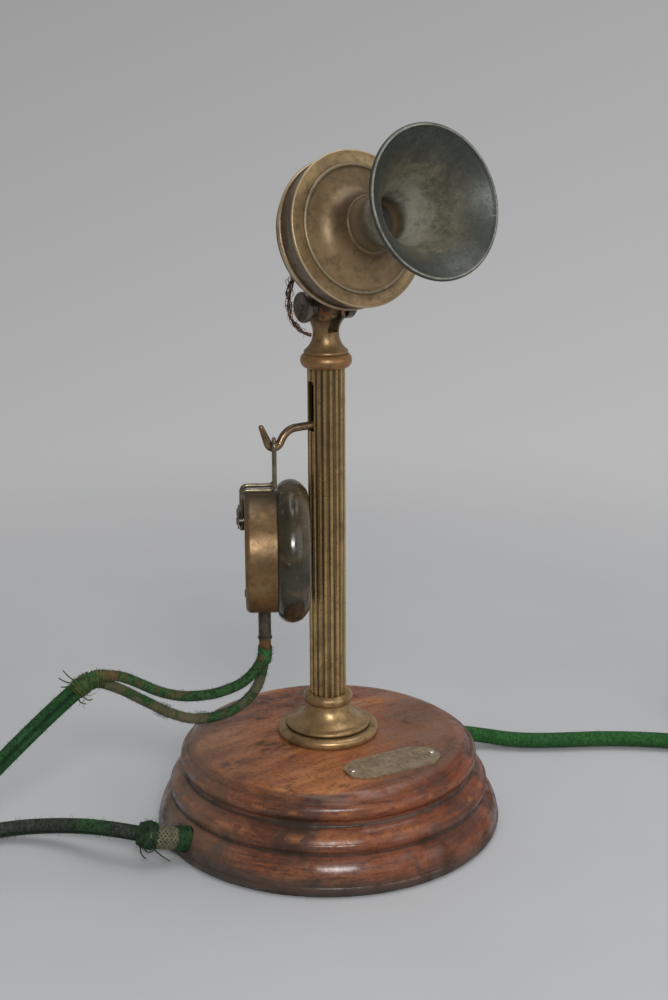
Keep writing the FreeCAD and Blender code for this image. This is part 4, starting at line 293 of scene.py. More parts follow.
towards_haze = plus(tree, leftwards, maths(tree, "SUBTRACT", blots, 0.5), 0.05)
colour = ramped(
    tree, figure, (0.28, (0.115, 0.036, 0.015)), (0.44, (0.220, 0.072, 0.027)),
    (0.57, (0.310, 0.112, 0.041)), (0.72, (0.40, 0.168, 0.062)),
)
colour = mixed(tree, stepped(tree, fibres, 0.5, 0.70, 0.0, 0.45), colour, (0.045, 0.014, 0.008))
colour = mixed(tree, times(tree, side, 0.6), colour, (0.105, 0.024, 0.008))
streak_dark = times(tree, side, stepped(tree, streaks, 0.51, 0.62, 0.0, 0.62))
colour = mixed(tree, streak_dark, colour, (0.030, 0.010, 0.006))
streak_light = times(tree, side, stepped(tree, streaks, 0.46, 0.36, 0.0, 0.5))
colour = mixed(tree, streak_light, colour, (0.25, 0.078, 0.026))
stain = stepped(tree, plus(tree, patches, blots, 0.7), 0.88, 1.06)
colour = mixed(tree, times(tree, stain, 0.85), colour, (0.026, 0.013, 0.009))
colour = mixed(tree, stepped(tree, grit, 0.52, 0.64, 0.0, 0.5), colour, (0.030, 0.012, 0.007))
# Painted reflection: the wood paled to a greyish haze towards the left, as from a pale wall.
colour = mixed(tree, stepped(tree, towards_haze, 0.018, 0.07, 0.0, 0.62), colour, (0.150, 0.110, 0.079))
# Towards the right, the top turns darker and greyer and the sides redder and darker.
right_top_darkening = times(tree, stepped(tree, towards_haze, -0.008, -0.040, 0.0, 0.62), maths(tree, "SUBTRACT", 1.0, side))
colour = mixed(tree, right_top_darkening, colour, (0.095, 0.058, 0.041))
reddened = times(tree, stepped(tree, towards_haze, 0.0, -0.045, 0.0, 0.6), side)
colour = mixed(tree, reddened, colour, (0.165, 0.036, 0.010))
smoky = stepped(tree, plus(tree, patches, streaks, 0.35), 0.60, 0.78, 0.0, 0.7)
smoky = times(tree, smoky, side, stepped(tree, towards_haze, 0.05, 0.01, 0.1, 1.0))
colour = mixed(tree, smoky, colour, (0.040, 0.018, 0.012))
# The foot darker towards the table, up to a ragged line that rises towards the left.
darkening_line = plus(tree, plus(tree, -0.001, blots, 0.012), leftwards, 0.03)
foot_darkening = stepped(tree, maths(tree, "SUBTRACT", height, darkening_line), 0.006, -0.001, 0.0, 0.75)
colour = mixed(tree, foot_darkening, colour, (0.034, 0.028, 0.022))
level = maths(tree, "DIVIDE", height, ring_reach)
grooves = banded(
    tree, level, (0.0, 1.0), (0.05, 0.5), (0.17, 0.0), (0.374, 0.0), (0.392, 1.0), (0.41, 0.1),
    (0.62, 0.0), (0.64, 0.95), (0.668, 0.4), (0.69, 0.0), (0.862, 0.0), (0.876, 0.35), (0.89, 0.0),
)
# Dirt in bands at the grooves' heights, darker also at the bottom, and painted shade in the creases.
groove_dirt_and_shade = times(tree, grooves, side, stepped(tree, blots, 0.25, 0.6, 0.8, 1.0))
groove_dirt_and_shade = maths(tree, "MAXIMUM", groove_dirt_and_shade, times(tree, creased(tree, 0.0018, 0.5, 0.82), 0.97))
colour = mixed(tree, groove_dirt_and_shade, colour, (0.026, 0.019, 0.013))
crests = banded(
    tree, level, (0.50, 0.0), (0.55, 1.0), (0.60, 0.0), (0.75, 0.0), (0.79, 1.0), (0.83, 0.0),
    (0.91, 0.0), (0.945, 0.8), (0.97, 0.0),
)
# Crests worn through the varnish, lightened also as a painted highlight.
rubbed_and_highlit = times(tree, crests, side, stepped(tree, blots, 0.47, 0.6), 0.6)
fill(tree, shader, {
    "Base Color": mixed(tree, rubbed_and_highlit, colour, (0.34, 0.128, 0.048)),
    "Roughness": stepped(tree, plus(tree, blots, grit, 0.8), 0.6, 1.1, 0.3, 0.75),
    "Coat Weight": stepped(tree, blots, 0.42, 0.62, 0.75, 0.15),
    "Coat Roughness": 0.23,
    "Specular IOR Level": 0.2,
})
bumped(tree, shader, plus(tree, plus(tree, fibres, blots, 0.8), grit, 0.9), 0.45, 0.0006)
dress(wood, "base_turning")

# Felt: a green wool disc, cut round and glued under the bottom plate. The telephone
# stands on it, and its edge is a little crushed.
felt_radius = 0.07
felt_thick = 0.0017
felt_outline = (
    (0.0, 0.0), (0.03, 0.0), (felt_radius - 0.0012, 0.0), (felt_radius - 0.0002, 0.0004),
    (felt_radius, 0.0009), (felt_radius - 0.0002, 0.0014), (felt_radius - 0.001, felt_thick),
    (0.0, felt_thick),
)


def grained(name, scale, detail, rough, low, dark, light, strength, depth, **plain):
    """A finish mottled from dark to light by one grain, which also stands up a little."""
    material, tree, shader = finish(name)
    grain = noise(tree, stretched(tree, object_place(tree), scale), 1.0, detail, rough)
    fill(tree, shader, {"Base Color": ramped(tree, grain, (low, dark), (0.7, light))})
    fill(tree, shader, {socket.replace("_", " ").title(): value for socket, value in plain.items()})
    bumped(tree, shader, grain, strength, depth)
    return material


def piece(name, mesh, material, body=None, stands_for=()):
    """A new piece in the frame of the CAD model: its finish, its body and the nodes it replaces."""
    mesh.materials.clear()
    mesh.materials.append(material)
    made = bpy.data.objects.new(name, mesh)
    scene.collection.objects.link(made)
    if stands_for:
        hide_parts(*stands_for)
    if body:
        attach(made, body)
    return made


felt_wool = grained(
    "green_felt", scale=(900.0, 900.0, 900.0), detail=5.0, rough=0.7, low=0.3, dark=(0.012, 0.030, 0.014),
    light=(0.035, 0.075, 0.036), strength=0.6, depth=0.0004, roughness=0.95, sheen_weight=0.4,
)
felt_shape = bmesh.new()
felt_line = [felt_shape.verts.new((x, 0.0, z)) for x, z in felt_outline]
for first, second in zip(felt_line, felt_line[1:]):
    felt_shape.edges.new((first, second))
bmesh.ops.spin(
    felt_shape, geom=felt_shape.verts[:] + felt_shape.edges[:], cent=(0, 0, 0), axis=(0, 0, 1),
    angle=2 * math.pi, steps=128, use_merge=True,
)
bmesh.ops.remove_doubles(felt_shape, verts=felt_shape.verts[:], dist=1e-6)
bmesh.ops.recalc_face_normals(felt_shape, faces=felt_shape.faces[:])
for face in felt_shape.faces:
    face.smooth = True
felt = piece("felt_disc", mesh_from(felt_shape, "felt_disc"), felt_wool, "base", ["base_felt"])

# Inside the base: a steel bottom plate and its screws, a cast-iron ballast ring, and a
# fibre block with brass screws where the cords end.
steel, tree, shader = finish("satin_steel")
place = object_place(tree)
rolling = noise(tree, stretched(tree, place, (30.0, 900.0, 900.0)), 1.0, 3.0)
spots = noise(tree, place, 160.0, 6.0, 0.7)
rust = stepped(tree, spots, 0.52, 0.72, 0.0, 0.7)
fill(tree, shader, {
    "Base Color": mixed(tree, rust, (0.33, 0.33, 0.325), (0.12, 0.075, 0.045)),
    "Metallic": 1.0,
    "Roughness": stepped(tree, plus(tree, rolling, spots), 0.7, 1.3, 0.3, 0.6),
})
bumped(tree, shader, rolling, 0.1, 0.0002)
dress(
    steel, "base_plate", "base_plate_screws", "column_washer", "column_nut", "hook_pivot_pin",
    "spring_stack_screw", "receiver_diaphragm", "receiver_magnet", "pole_pieces", "damping_springs",
)
cast_iron = grained(
    "rough_cast_iron", scale=(420.0, 420.0, 420.0), detail=6.0, rough=0.7, low=0.35,
    dark=(0.030, 0.028, 0.027), light=(0.085, 0.070, 0.060), strength=0.5, depth=0.0005, metallic=0.6,
    roughness=0.72,
)
dress(cast_iron, "base_weight")
fibre = grained(
    "vulcanised_fibre", scale=(120.0, 120.0, 900.0), detail=4.0, rough=0.55, low=0.35,
    dark=(0.045, 0.016, 0.010), light=(0.13, 0.045, 0.022), strength=0.2, depth=0.0002, roughness=0.55,
)
dress(fibre, "terminal_block", "spring_insulators", "lever_button", "cord_bushes")

# Blank plate: a thin stamped brass plate with rounded shoulders, dull brown, held on the
# crowned top by two small pins that kept some of their plating.


def new_group(name, kind, inputs, outputs):
    """An empty node group and what its inputs give. A row is a kind of socket and its names."""
    group = bpy.data.node_groups.new(name, kind)
    for way, rows in (("INPUT", inputs), ("OUTPUT", outputs)):
        for socket_kind, socket_names in rows:
            for socket_name in socket_names:
                group.interface.new_socket(socket_name, in_out=way, socket_type="NodeSocket" + socket_kind)
    return group, group.nodes.new("NodeGroupInput").outputs


def patina_group():
    """Bright metal that browns in clouds and blackens in spots."""
    group, given = new_group(
        "metal_patina", "ShaderNodeTree",
        (("Color", ("Bright", "Brown", "Dark")), ("Float", ("Size", "Browning", "Blackening"))),
        (("Color", ("Color",)), ("Float", ("Tarnish", "Height"))),
    )
    where = object_place(group)
    clouds = noise(group, where, given["Size"], 5.0, 0.6, 0.4)
    grime = noise(group, where, times(group, given["Size"], 3.7), 6.0, 0.68)
    specks = noise(group, where, times(group, given["Size"], 19.0), 3.0, 0.6)
    scuffs = noise(group, stretched(group, where, (180.0, 1500.0, 420.0), (0.4, 0.7, 0.3)), 1.0, 3.0)
    browning = plus(group, times(group, clouds, 0.7), grime, 0.3)
    browning = plus(group, browning, maths(group, "SUBTRACT", given["Browning"], 0.5))
    browning = stepped(group, browning, 0.36, 0.64)
    tone = mixed(group, browning, given["Bright"], given["Brown"])
    black = plus(group, times(group, grime, 0.75), specks, 0.25)
    black = plus(group, black, maths(group, "SUBTRACT", given["Blackening"], 0.5))
    black = stepped(group, black, 0.44, 0.74)
    tone = mixed(group, black, tone, given["Dark"])
    add(group, "NodeGroupOutput", {
        "Color": mixed(group, stepped(group, scuffs, 0.66, 0.8, 0.0, 0.35), tone, given["Bright"]),
        "Tarnish": maths(group, "MAXIMUM", times(group, browning, 0.6), black),
        "Height": plus(group, times(group, grime, 0.7), specks, 0.3),
    })
    return group


metal_patina = patina_group()


def aged_metal(name, tones, size, browning, blackening, smooth, dull, relief=0.12, metal=0.8):
    """A tarnished metal in bright, brown and dark tones: its material, tree, shader and colour."""
    material, tree, shader = finish(name)
    coat_sockets = {socket: (*tone, 1.0) for socket, tone in zip(("Bright", "Brown", "Dark"), tones)}
    coat_sockets.update({"Size": size, "Browning": browning, "Blackening": blackening})
    coat = add(tree, "ShaderNodeGroup", coat_sockets, node_tree=metal_patina).outputs
    # Painted shade: the metal darkened in its own creases.
    crease = times(tree, creased(tree, 0.0025), 0.75)
    colour = mixed(tree, crease, coat["Color"], tuple(0.6 * part for part in tones[2]))
    fill(tree, shader, {
        "Base Color": colour,
        "Roughness": stepped(tree, coat["Tarnish"], 0.0, 1.0, smooth, dull),
        "Metallic": metal,
    })
    bumped(tree, shader, coat["Height"], relief, 0.0004)
    return material, tree, shader, colour


plate_tones = ((0.36, 0.275, 0.170), (0.225, 0.158, 0.098), (0.075, 0.056, 0.038))
plate_brass = aged_metal(
    "dull_plate_brass", plate_tones, size=170.0, browning=0.5, blackening=0.47, smooth=0.4, dull=0.6,
    relief=0.25, metal=0.55,
)[0]
dress(plate_brass, "name_plate")
pin_tones = ((0.62, 0.58, 0.52), (0.30, 0.23, 0.15), (0.06, 0.05, 0.04))
pin_nickel = aged_metal(
    "pin_nickel", pin_tones, size=400.0, browning=0.45, blackening=0.42, smooth=0.22, dull=0.45,
)[0]
dress(pin_nickel, "name_plate_pins")

# Column: a spun brass flange, a tube drawn with eighteen flutes and a turned yoke, gone
# greenish brown. The flutes hold dirt, and handling has coppered the yoke's bead.
flute_depth = (0.00782, 0.00738)
yoke_bead = (0.2112, 0.2098)
yoke_fork = (0.2195, 0.2265)
fork_tips = (0.222, 0.227)
flange_tones = ((0.365, 0.235, 0.105), (0.200, 0.120, 0.052), (0.048, 0.038, 0.023))
flange_brass = aged_metal(
    "flange_brass", flange_tones, size=80.0, browning=0.46, blackening=0.45, smooth=0.34, dull=0.56,
    relief=0.2, metal=0.6,
)[0]
dress(flange_brass, "column_flange")
tube_tones = ((0.52, 0.345, 0.150), (0.300, 0.190, 0.082), (0.060, 0.050, 0.030))
tube_brass, tree, shader, colour = aged_metal(
    "fluted_brass", tube_tones, size=90.0, browning=0.46, blackening=0.42, smooth=0.26, dull=0.46,
    relief=0.15, metal=0.85,
)
place = object_place(tree)
radius = vectors(tree, "LENGTH", vectors(tree, "MULTIPLY", place, (1.0, 1.0, 0.0)))
dirt_runs = noise(tree, stretched(tree, place, (300.0, 300.0, 25.0)), 1.0)
flute_dirt = times(tree, stepped(tree, radius, *flute_depth), stepped(tree, dirt_runs, 0.2, 0.7, 0.95, 0.6))
fill(tree, shader, {"Base Color": mixed(tree, flute_dirt, colour, (0.046, 0.043, 0.028))})
dress(tube_brass, "column_tube")
yoke_tones = ((0.265, 0.165, 0.070), (0.168, 0.097, 0.041), (0.050, 0.037, 0.023))
yoke_brass, tree, shader, colour = aged_metal(
    "coppered_brass", yoke_tones, size=90.0, browning=0.5, blackening=0.45, smooth=0.34, dull=0.56,
    relief=0.2, metal=0.6,
)
place = object_place(tree)
height = split(tree, place)["Z"]
rub = noise(tree, place, 150.0, 6.0, 0.66)
bead_copper = times(tree, stepped(tree, height, *yoke_bead), stepped(tree, rub, 0.40, 0.56, 0.05, 0.95))
colour = mixed(tree, bead_copper, colour, (0.31, 0.146, 0.050))
fork_shade = times(tree, stepped(tree, height, *yoke_fork), stepped(tree, rub, 0.62, 0.42, 0.25, 0.85))
colour = mixed(tree, fork_shade, colour, (0.045, 0.042, 0.027))
fork_copper = times(tree, stepped(tree, height, *fork_tips), stepped(tree, rub, 0.48, 0.56), 0.8)
fill(tree, shader, {"Base Color": mixed(tree, fork_copper, colour, (0.30, 0.120, 0.044))})
dress(yoke_brass, "head_yoke")

# Tilt bolt, its washers, nut and the small screws: turned steel and brass, blackened by
# age, with a few lighter scuffs.
screw_tones = ((0.20, 0.165, 0.13), (0.095, 0.075, 0.060), (0.030, 0.027, 0.024))
dark_screw = aged_metal(
    "blackened_screw", screw_tones, size=210.0, browning=0.5, blackening=0.46, smooth=0.32, dull=0.55,
    relief=0.2,
)[0]
dress(
    dark_screw, "pivot_bolt", "pivot_washers", "pivot_nut", "column_screws", "transmitter_screws",
    "terminal_screws", "receiver_screws",
)

# Hook switch: a bent bronze hook on a pin in a brass frame inside the column, pressing
# a stack of contact leaves with its tail.
hook_tones = ((0.25, 0.160, 0.090), (0.135, 0.086, 0.049), (0.040, 0.031, 0.022))
hook_bronze = aged_metal(
    "handled_bronze", hook_tones, size=170.0, browning=0.5, blackening=0.45, smooth=0.24, dull=0.48,
    relief=0.2,
)[0]
dress(hook_bronze, "hook_lever")
inner_tones = ((0.52, 0.37, 0.17), (0.33, 0.21, 0.09), (0.10, 0.07, 0.04))
inner_brass = aged_metal(
    "inner_brass", inner_tones, size=200.0, browning=0.4, blackening=0.36, smooth=0.3, dull=0.5,
)[0]
dress(
    inner_brass, "switch_frame", "contact_springs", "button_bridge", "line_cord_terminals",
    "line_cord_ferrule",
)

# Transmitter head: a spun cup, a bezel and a dished face with a raised boss, all of
# bronze gone brown, paler along the thin ridge and darker round the boss.
head_place = Vector((0.0, -0.0242, 0.2638))
head_turn = math.radians(90.0 - 16.1)
boss_side = (0.0088, 0.0102)
boss_foot_end = (0.0162, 0.0128)
ridge_inside = (0.0246, 0.0251)
ridge_outside = (0.0264, 0.0259)
ridge_foot = (0.0262, 0.0245)
face_edge = (0.0269, 0.0272)
bezel_side = (-0.0011, -0.0018)
bezel_corner = (0.0308, 0.0312)
bezel_front = (-0.0016, -0.0012)
cup_bead = (0.0302, 0.0306)


def head_coordinates(tree):
    """The radius from the transmitter's axis, the height along it, and the place in its frame."""
    local = add(tree, "ShaderNodeMapping", {
        "Vector": object_place(tree), "Location": head_place, "Rotation": (head_turn, 0.0, 0.0),
    }, vector_type="TEXTURE").outputs[0]
    radius = vectors(tree, "LENGTH", vectors(tree, "MULTIPLY", local, (1.0, 1.0, 0.0)))
    return radius, split(tree, local)["Z"], local


def stained(tree, local, colour, share):
    """A colour with greenish brown stains, and coppery spots where the bronze shows through."""
    stains = noise(tree, local, 210.0, 8.0, 0.76, 0.3)
    colour = mixed(tree, stepped(tree, stains, 0.5, 0.64, 0.0, share), colour, (0.062, 0.052, 0.030))
    low = stepped(tree, split(tree, local)["Y"], -0.004, -0.020, 0.15, 0.8)
    spots = times(tree, stepped(tree, noise(tree, local, 430.0, 5.0, 0.7), 0.55, 0.66), low)
    return mixed(tree, spots, colour, (0.225, 0.120, 0.070))


face_tones = ((0.185, 0.122, 0.055), (0.125, 0.079, 0.035), (0.048, 0.034, 0.019))
face_bronze, tree, shader, colour = aged_metal(
    "face_bronze", face_tones, size=95.0, browning=0.5, blackening=0.46, smooth=0.42, dull=0.62,
    relief=0.2, metal=0.42,
)
radius, along, local = head_coordinates(tree)
ridge = times(tree, stepped(tree, radius, *ridge_inside), stepped(tree, radius, *ridge_outside), 0.6)
colour = mixed(tree, ridge, colour, (0.27, 0.235, 0.155))
boss_foot = times(tree, stepped(tree, radius, *boss_side), stepped(tree, radius, *boss_foot_end))
boss_foot = times(tree, boss_foot, stepped(tree, noise(tree, local, 110.0), 0.3, 0.56, 0.35, 0.95))
colour = mixed(tree, boss_foot, colour, (0.080, 0.050, 0.028))
face_seam = times(tree, stepped(tree, radius, *face_edge), 0.7)
colour = mixed(tree, face_seam, colour, (0.06, 0.042, 0.026))
face_parts = split(tree, local)
lower_left = plus(tree, times(tree, face_parts["Y"], -0.87), face_parts["X"], -0.5)
# Painted reflection: the face's lower left, inside the ridge, paled as if it reflected the table.
lower_left_reflection = stepped(tree, plus(tree, lower_left, noise(tree, local, 90.0), 0.012), 0.006, 0.022)
lower_left_reflection = times(tree, lower_left_reflection, stepped(tree, radius, *ridge_foot), 0.75)
colour = mixed(tree, lower_left_reflection, colour, (0.275, 0.186, 0.090))
# The face darker and browner towards the upper right.
upper_right_darkening = stepped(tree, lower_left, -0.004, -0.018, 0.0, 0.4)
colour = mixed(tree, upper_right_darkening, colour, (0.120, 0.082, 0.042))
fill(tree, shader, {"Base Color": stained(tree, local, colour, 0.55)})
dress(face_bronze, "transmitter_face")
bezel_tones = ((0.280, 0.193, 0.092), (0.182, 0.118, 0.054), (0.060, 0.043, 0.025))
bezel_bronze, tree, shader, colour = aged_metal(
    "bezel_bronze", bezel_tones, size=80.0, browning=0.5, blackening=0.46, smooth=0.36, dull=0.58,
    relief=0.2, metal=0.5,
)
radius, along, local = head_coordinates(tree)
colour = stained(tree, local, colour, 0.5)
# Painted shade: the bezel's side, turned away from the light, darker and greener than its front.
colour = mixed(tree, stepped(tree, along, *bezel_side, 0.0, 0.65), colour, (0.070, 0.062, 0.040))
# A bright line round the bezel's front corner: worn edge, and a painted highlight.
edge = times(tree, stepped(tree, radius, *bezel_corner), stepped(tree, along, *bezel_front), 0.8)
fill(tree, shader, {"Base Color": mixed(tree, edge, colour, (0.44, 0.32, 0.18))})
dress(bezel_bronze, "transmitter_bezel")
cup_tones = ((0.190, 0.135, 0.075), (0.118, 0.082, 0.046), (0.045, 0.035, 0.024))
cup_bronze, tree, shader, colour = aged_metal(
    "cup_bronze", cup_tones, size=80.0, browning=0.5, blackening=0.46, smooth=0.34, dull=0.56, relief=0.2,
    metal=0.65,
)
radius, along, local = head_coordinates(tree)
# A bright line on the cup's bead: worn bronze, and a painted highlight.
bead_rub_and_highlight = stepped(tree, noise(tree, local, 60.0), 0.3, 0.5, 0.4, 1.0)
bead_rub_and_highlight = times(tree, stepped(tree, radius, *cup_bead), bead_rub_and_highlight, 0.85)
fill(tree, shader, {"Base Color": mixed(tree, bead_rub_and_highlight, colour, (0.52, 0.41, 0.26))})
dress(cup_bronze, "transmitter_cup", "transmitter_lug")
carbon = grained(
    "pressed_carbon", scale=(1500.0, 1500.0, 1500.0), detail=3.0, rough=0.55, low=0.35,
    dark=(0.010, 0.010, 0.010), light=(0.035, 0.035, 0.036), strength=0.3, depth=0.0002, roughness=0.6,
)
dress(carbon, "carbon_button", "diaphragm_gasket", "mouthpiece_grille")
tin_tones = ((0.52, 0.51, 0.49), (0.34, 0.31, 0.27), (0.12, 0.10, 0.08))
thin_tin = aged_metal(
    "tinned_disc", tin_tones, size=120.0, browning=0.4, blackening=0.4, smooth=0.3, dull=0.5,
)[0]
dress(thin_tin, "transmitter_diaphragm")

# Mouthpiece: a spun horn with dark worn nickel plating, mottled brown inside towards the
# throat and paled there by painted light, and a bright line where the rim has been rubbed.
horn_lip = (0.0490, 0.0370)
horn_neck = (0.012, 0.020)
horn_deep = (0.046, 0.030)
throat_mouth = (0.0150, 0.0070)
throat_start = (0.016, 0.021)
throat_bore = (0.0071, 0.0066)
stem_end = (0.020, 0.013)
stem_wall = (0.0066, 0.0072)
rim_edge = (0.0498, 0.0501)
horn_tones = ((0.038, 0.044, 0.033), (0.026, 0.030, 0.022), (0.014, 0.015, 0.011))
horn_nickel, tree, shader, colour = aged_metal(
    "worn_horn_nickel", horn_tones, size=190.0, browning=0.5, blackening=0.49, smooth=0.42, dull=0.58,
    relief=0.2, metal=0.25,
)
radius, along, local = head_coordinates(tree)
mottle = noise(tree, local, 115.0, 9.0, 0.78, 0.1)
deep = times(tree, stepped(tree, along, *horn_lip), stepped(tree, along, *horn_neck))
deep = times(tree, deep, stepped(tree, along, *horn_deep, 0.7, 1.35))
# Brown mottling inside the horn, paler the deeper it lies: stain, and painted light in the horn's own shade.
brown_and_lit_inside = times(tree, deep, stepped(tree, mottle, 0.36, 0.64, 0.25, 0.95), 0.75)
colour = mixed(tree, maths(tree, "MINIMUM", brown_and_lit_inside, 1.0), colour, (0.200, 0.176, 0.122))
fine = noise(tree, local, 700.0, 4.0, 0.7)
colour = mixed(tree, stepped(tree, fine, 0.52, 0.68, 0.0, 0.45), colour, (0.018, 0.020, 0.014))
# Painted light: the throat and its bore paled in mottled patches, where the horn's shade is deepest.
throat = times(tree, stepped(tree, radius, *throat_mouth), stepped(tree, along, *throat_start))
throat = maths(tree, "MAXIMUM", throat, stepped(tree, radius, *throat_bore))
throat = times(tree, throat, stepped(tree, mottle, 0.36, 0.6, 0.45, 1.0), 0.9)
colour = mixed(tree, throat, colour, (0.46, 0.44, 0.37))
scratches = noise(tree, stretched(tree, local, (260.0, 900.0, 120.0), (0.3, 0.2, 0.9)), 1.0, 3.0)
glints = times(tree, stepped(tree, scratches, 0.63, 0.72), stepped(tree, mottle, 0.5, 0.64), 0.7)
colour = mixed(tree, glints, colour, (0.30, 0.30, 0.27))
stem = times(tree, stepped(tree, along, *stem_end), stepped(tree, radius, *stem_wall), 0.85)
colour = mixed(tree, stem, colour, (0.150, 0.108, 0.058))
rim = times(tree, stepped(tree, along, *rim_edge), stepped(tree, mottle, 0.35, 0.6, 0.25, 0.85))
fill(tree, shader, {"Base Color": mixed(tree, rim, colour, (0.30, 0.30, 0.25))})
dress(horn_nickel, "mouthpiece")

# Receiver: a drawn bronze case that hangs from a wire bail, with a moulded ear cap of
# black rubber, polished by use and browned by light.
case_top = (0.150, 0.164)
case_tones = ((0.205, 0.121, 0.051), (0.123, 0.069, 0.027), (0.038, 0.027, 0.016))
case_bronze, tree, shader, colour = aged_metal(
    "case_bronze", case_tones, size=85.0, browning=0.5, blackening=0.46, smooth=0.35, dull=0.55,
    relief=0.14, metal=0.56,
)
place = object_place(tree)
height = plus(tree, split(tree, place)["Z"], noise(tree, place, 120.0, 5.0), 0.014)
top_shade = stepped(tree, height, *case_top, 0.0, 0.85)
fill(tree, shader, {"Base Color": mixed(tree, top_shade, colour, (0.078, 0.058, 0.033))})
dress(case_bronze, "receiver_case")
bail_tones = ((0.26, 0.222, 0.150), (0.130, 0.104, 0.066), (0.040, 0.034, 0.025))
bail_brass = aged_metal(
    "bail_brass", bail_tones, size=190.0, browning=0.5, blackening=0.43, smooth=0.26, dull=0.48,
    relief=0.2,
)[0]
dress(bail_brass, "receiver_bail", "bail_clamp")
ferrule_tones = ((0.125, 0.106, 0.080), (0.068, 0.052, 0.038), (0.028, 0.023, 0.018))
ferrule_metal = aged_metal(
    "ferrule_metal", ferrule_tones, size=220.0, browning=0.5, blackening=0.45, smooth=0.34, dull=0.6,
    relief=0.35,
)[0]
dress(ferrule_metal, "cord_ferrule")
rubber, tree, shader = finish("browned_ebonite")
place = object_place(tree)
bloom = noise(tree, place, 60.0, 5.0, 0.6, 0.5)
marks = noise(tree, place, 260.0, 6.0, 0.7)
colour = ramped(
    tree, bloom, (0.34, (0.018, 0.016, 0.010)), (0.5, (0.034, 0.027, 0.014)), (0.66, (0.076, 0.053, 0.026)),
)
fill(tree, shader, {
    "Base Color": mixed(tree, stepped(tree, marks, 0.58, 0.74, 0.0, 0.7), colour, (0.19, 0.16, 0.112)),
    "Roughness": stepped(tree, plus(tree, bloom, marks), 0.75, 1.3, 0.14, 0.34),
    "IOR": 1.5,
    "Specular IOR Level": 0.48,
})
bumped(tree, shader, marks, 0.03, 0.0002)
dress(rubber, "ear_cap")

# Receiver windings: two flat bobbins of silk-covered wire on the pole pieces, wound in
# even turns that show as ribs.
receiver_place = (
    Matrix.Translation((-0.0264, 0.0, 0.129))
    @ Matrix.Rotation(math.radians(58.0), 4, "Z") @ Matrix.Rotation(math.radians(90.0), 4, "X")
)
bobbin_apart = 0.006
bobbin_half = (0.00262, 0.00342)
bore_half = (0.0013, 0.0021)
bobbin_turns = 14
bobbin_bottom = -0.00515
bobbin_length = 0.007
wire_bulge = 0.00022
ring_corners = 32


def squared_ring(shape, middle, along, wide, tall, squareness):
    """A ring of points on a rounded rectangle across the receiver's axis."""
    ring = []
    for corner in range(ring_corners):
        turn = 2 * math.pi * corner / ring_corners
        x = math.copysign(abs(math.cos(turn)) ** squareness, math.cos(turn)) * wide
        y = math.copysign(abs(math.sin(turn)) ** squareness, math.sin(turn)) * tall
        ring.append(shape.verts.new(receiver_place @ Vector((middle + x, y, along))))
    return ring


def bridged(shape, rings):
    """Smooth faces between each ring of points and the next."""
    for lower, upper in zip(rings, rings[1:]):
        for corner in range(len(lower)):
            after = (corner + 1) % len(lower)
            shape.faces.new((lower[corner], lower[after], upper[after], upper[corner])).smooth = True


silk = grained(
    "green_silk_wire", scale=(2200.0, 2200.0, 2200.0), detail=3.0, rough=0.55, low=0.3,
    dark=(0.030, 0.055, 0.020), light=(0.085, 0.11, 0.045), strength=0.3, depth=0.0002, roughness=0.6,
)
winding_shape = bmesh.new()
for bobbin_side in (-1, 1):
    middle = bobbin_side * bobbin_apart
    rings = []
    for level in range(2 * bobbin_turns + 1):
        along = bobbin_bottom + bobbin_length * level / (2 * bobbin_turns)
        wide, tall = [half + wire_bulge * (level % 2) for half in bobbin_half]
        rings.append(squared_ring(winding_shape, middle, along, wide, tall, 0.45))
    bore_low = squared_ring(winding_shape, middle, bobbin_bottom, *bore_half, 0.3)
    bore_high = squared_ring(winding_shape, middle, bobbin_bottom + bobbin_length, *bore_half, 0.3)
    bridged(winding_shape, rings + [bore_high, bore_low, rings[0]])
bmesh.ops.recalc_face_normals(winding_shape, faces=winding_shape.faces[:])
piece(
    "bobbin_windings", mesh_from(winding_shape, "bobbin_windings"), silk, "receiver",
    ["receiver_coils"],
)

# Receiver cord branches: two cloth-covered cords from the receiver, green with faded
# brown stretches, that hang in two loops and meet in a thread tie.
branch_radius = 0.0022
bright_green = (0.042, 0.118, 0.034)
deep_green = (0.008, 0.024, 0.009)
faded_orange = (0.120, 0.075, 0.030)
faded_brown = (0.130, 0.112, 0.062)
lowest_thread = 0.0003
wisp_length = 0.003
tear_reach = 0.0026


def laid_line(name, route):
    """Points along a cord's smooth line, read from the spline through its route."""
    curve = bpy.data.curves.new(name, "CURVE")
    curve.dimensions = "3D"
    curve.resolution_u = 12
    spline = curve.splines.new("NURBS")
    spline.points.add(len(route) - 1)
    for point, spot in zip(spline.points, route):
        point.co = (*spot, 1.0)
    spline.order_u = 3
    spline.use_endpoint_u = True
    holder = bpy.data.objects.new(name, curve)
    scene.collection.objects.link(holder)
    depsgraph = bpy.context.evaluated_depsgraph_get()
    read = bpy.data.meshes.new_from_object(holder.evaluated_get(depsgraph))
    line = [vertex.co.copy() for vertex in read.vertices]
    bpy.data.objects.remove(holder)
    bpy.data.meshes.remove(read)
    return [line[0]] + [here for before, here in zip(line, line[1:]) if (here - before).length > 1e-6]


def stations(line, upwards):
    """Each point of a line with its distance, its heading and two directions across it."""
    found = []
    gone = 0.0
    side = Vector(upwards)
    for index, here in enumerate(line):
        before = line[max(index - 1, 0)]
        after = line[min(index + 1, len(line) - 1)]
        heading = (after - before).normalized()
        side = (side - heading * side.dot(heading)).normalized()
        if index:
            gone += (here - line[index - 1]).length
        found.append((here, gone, heading, side, heading.cross(side)))
    return found


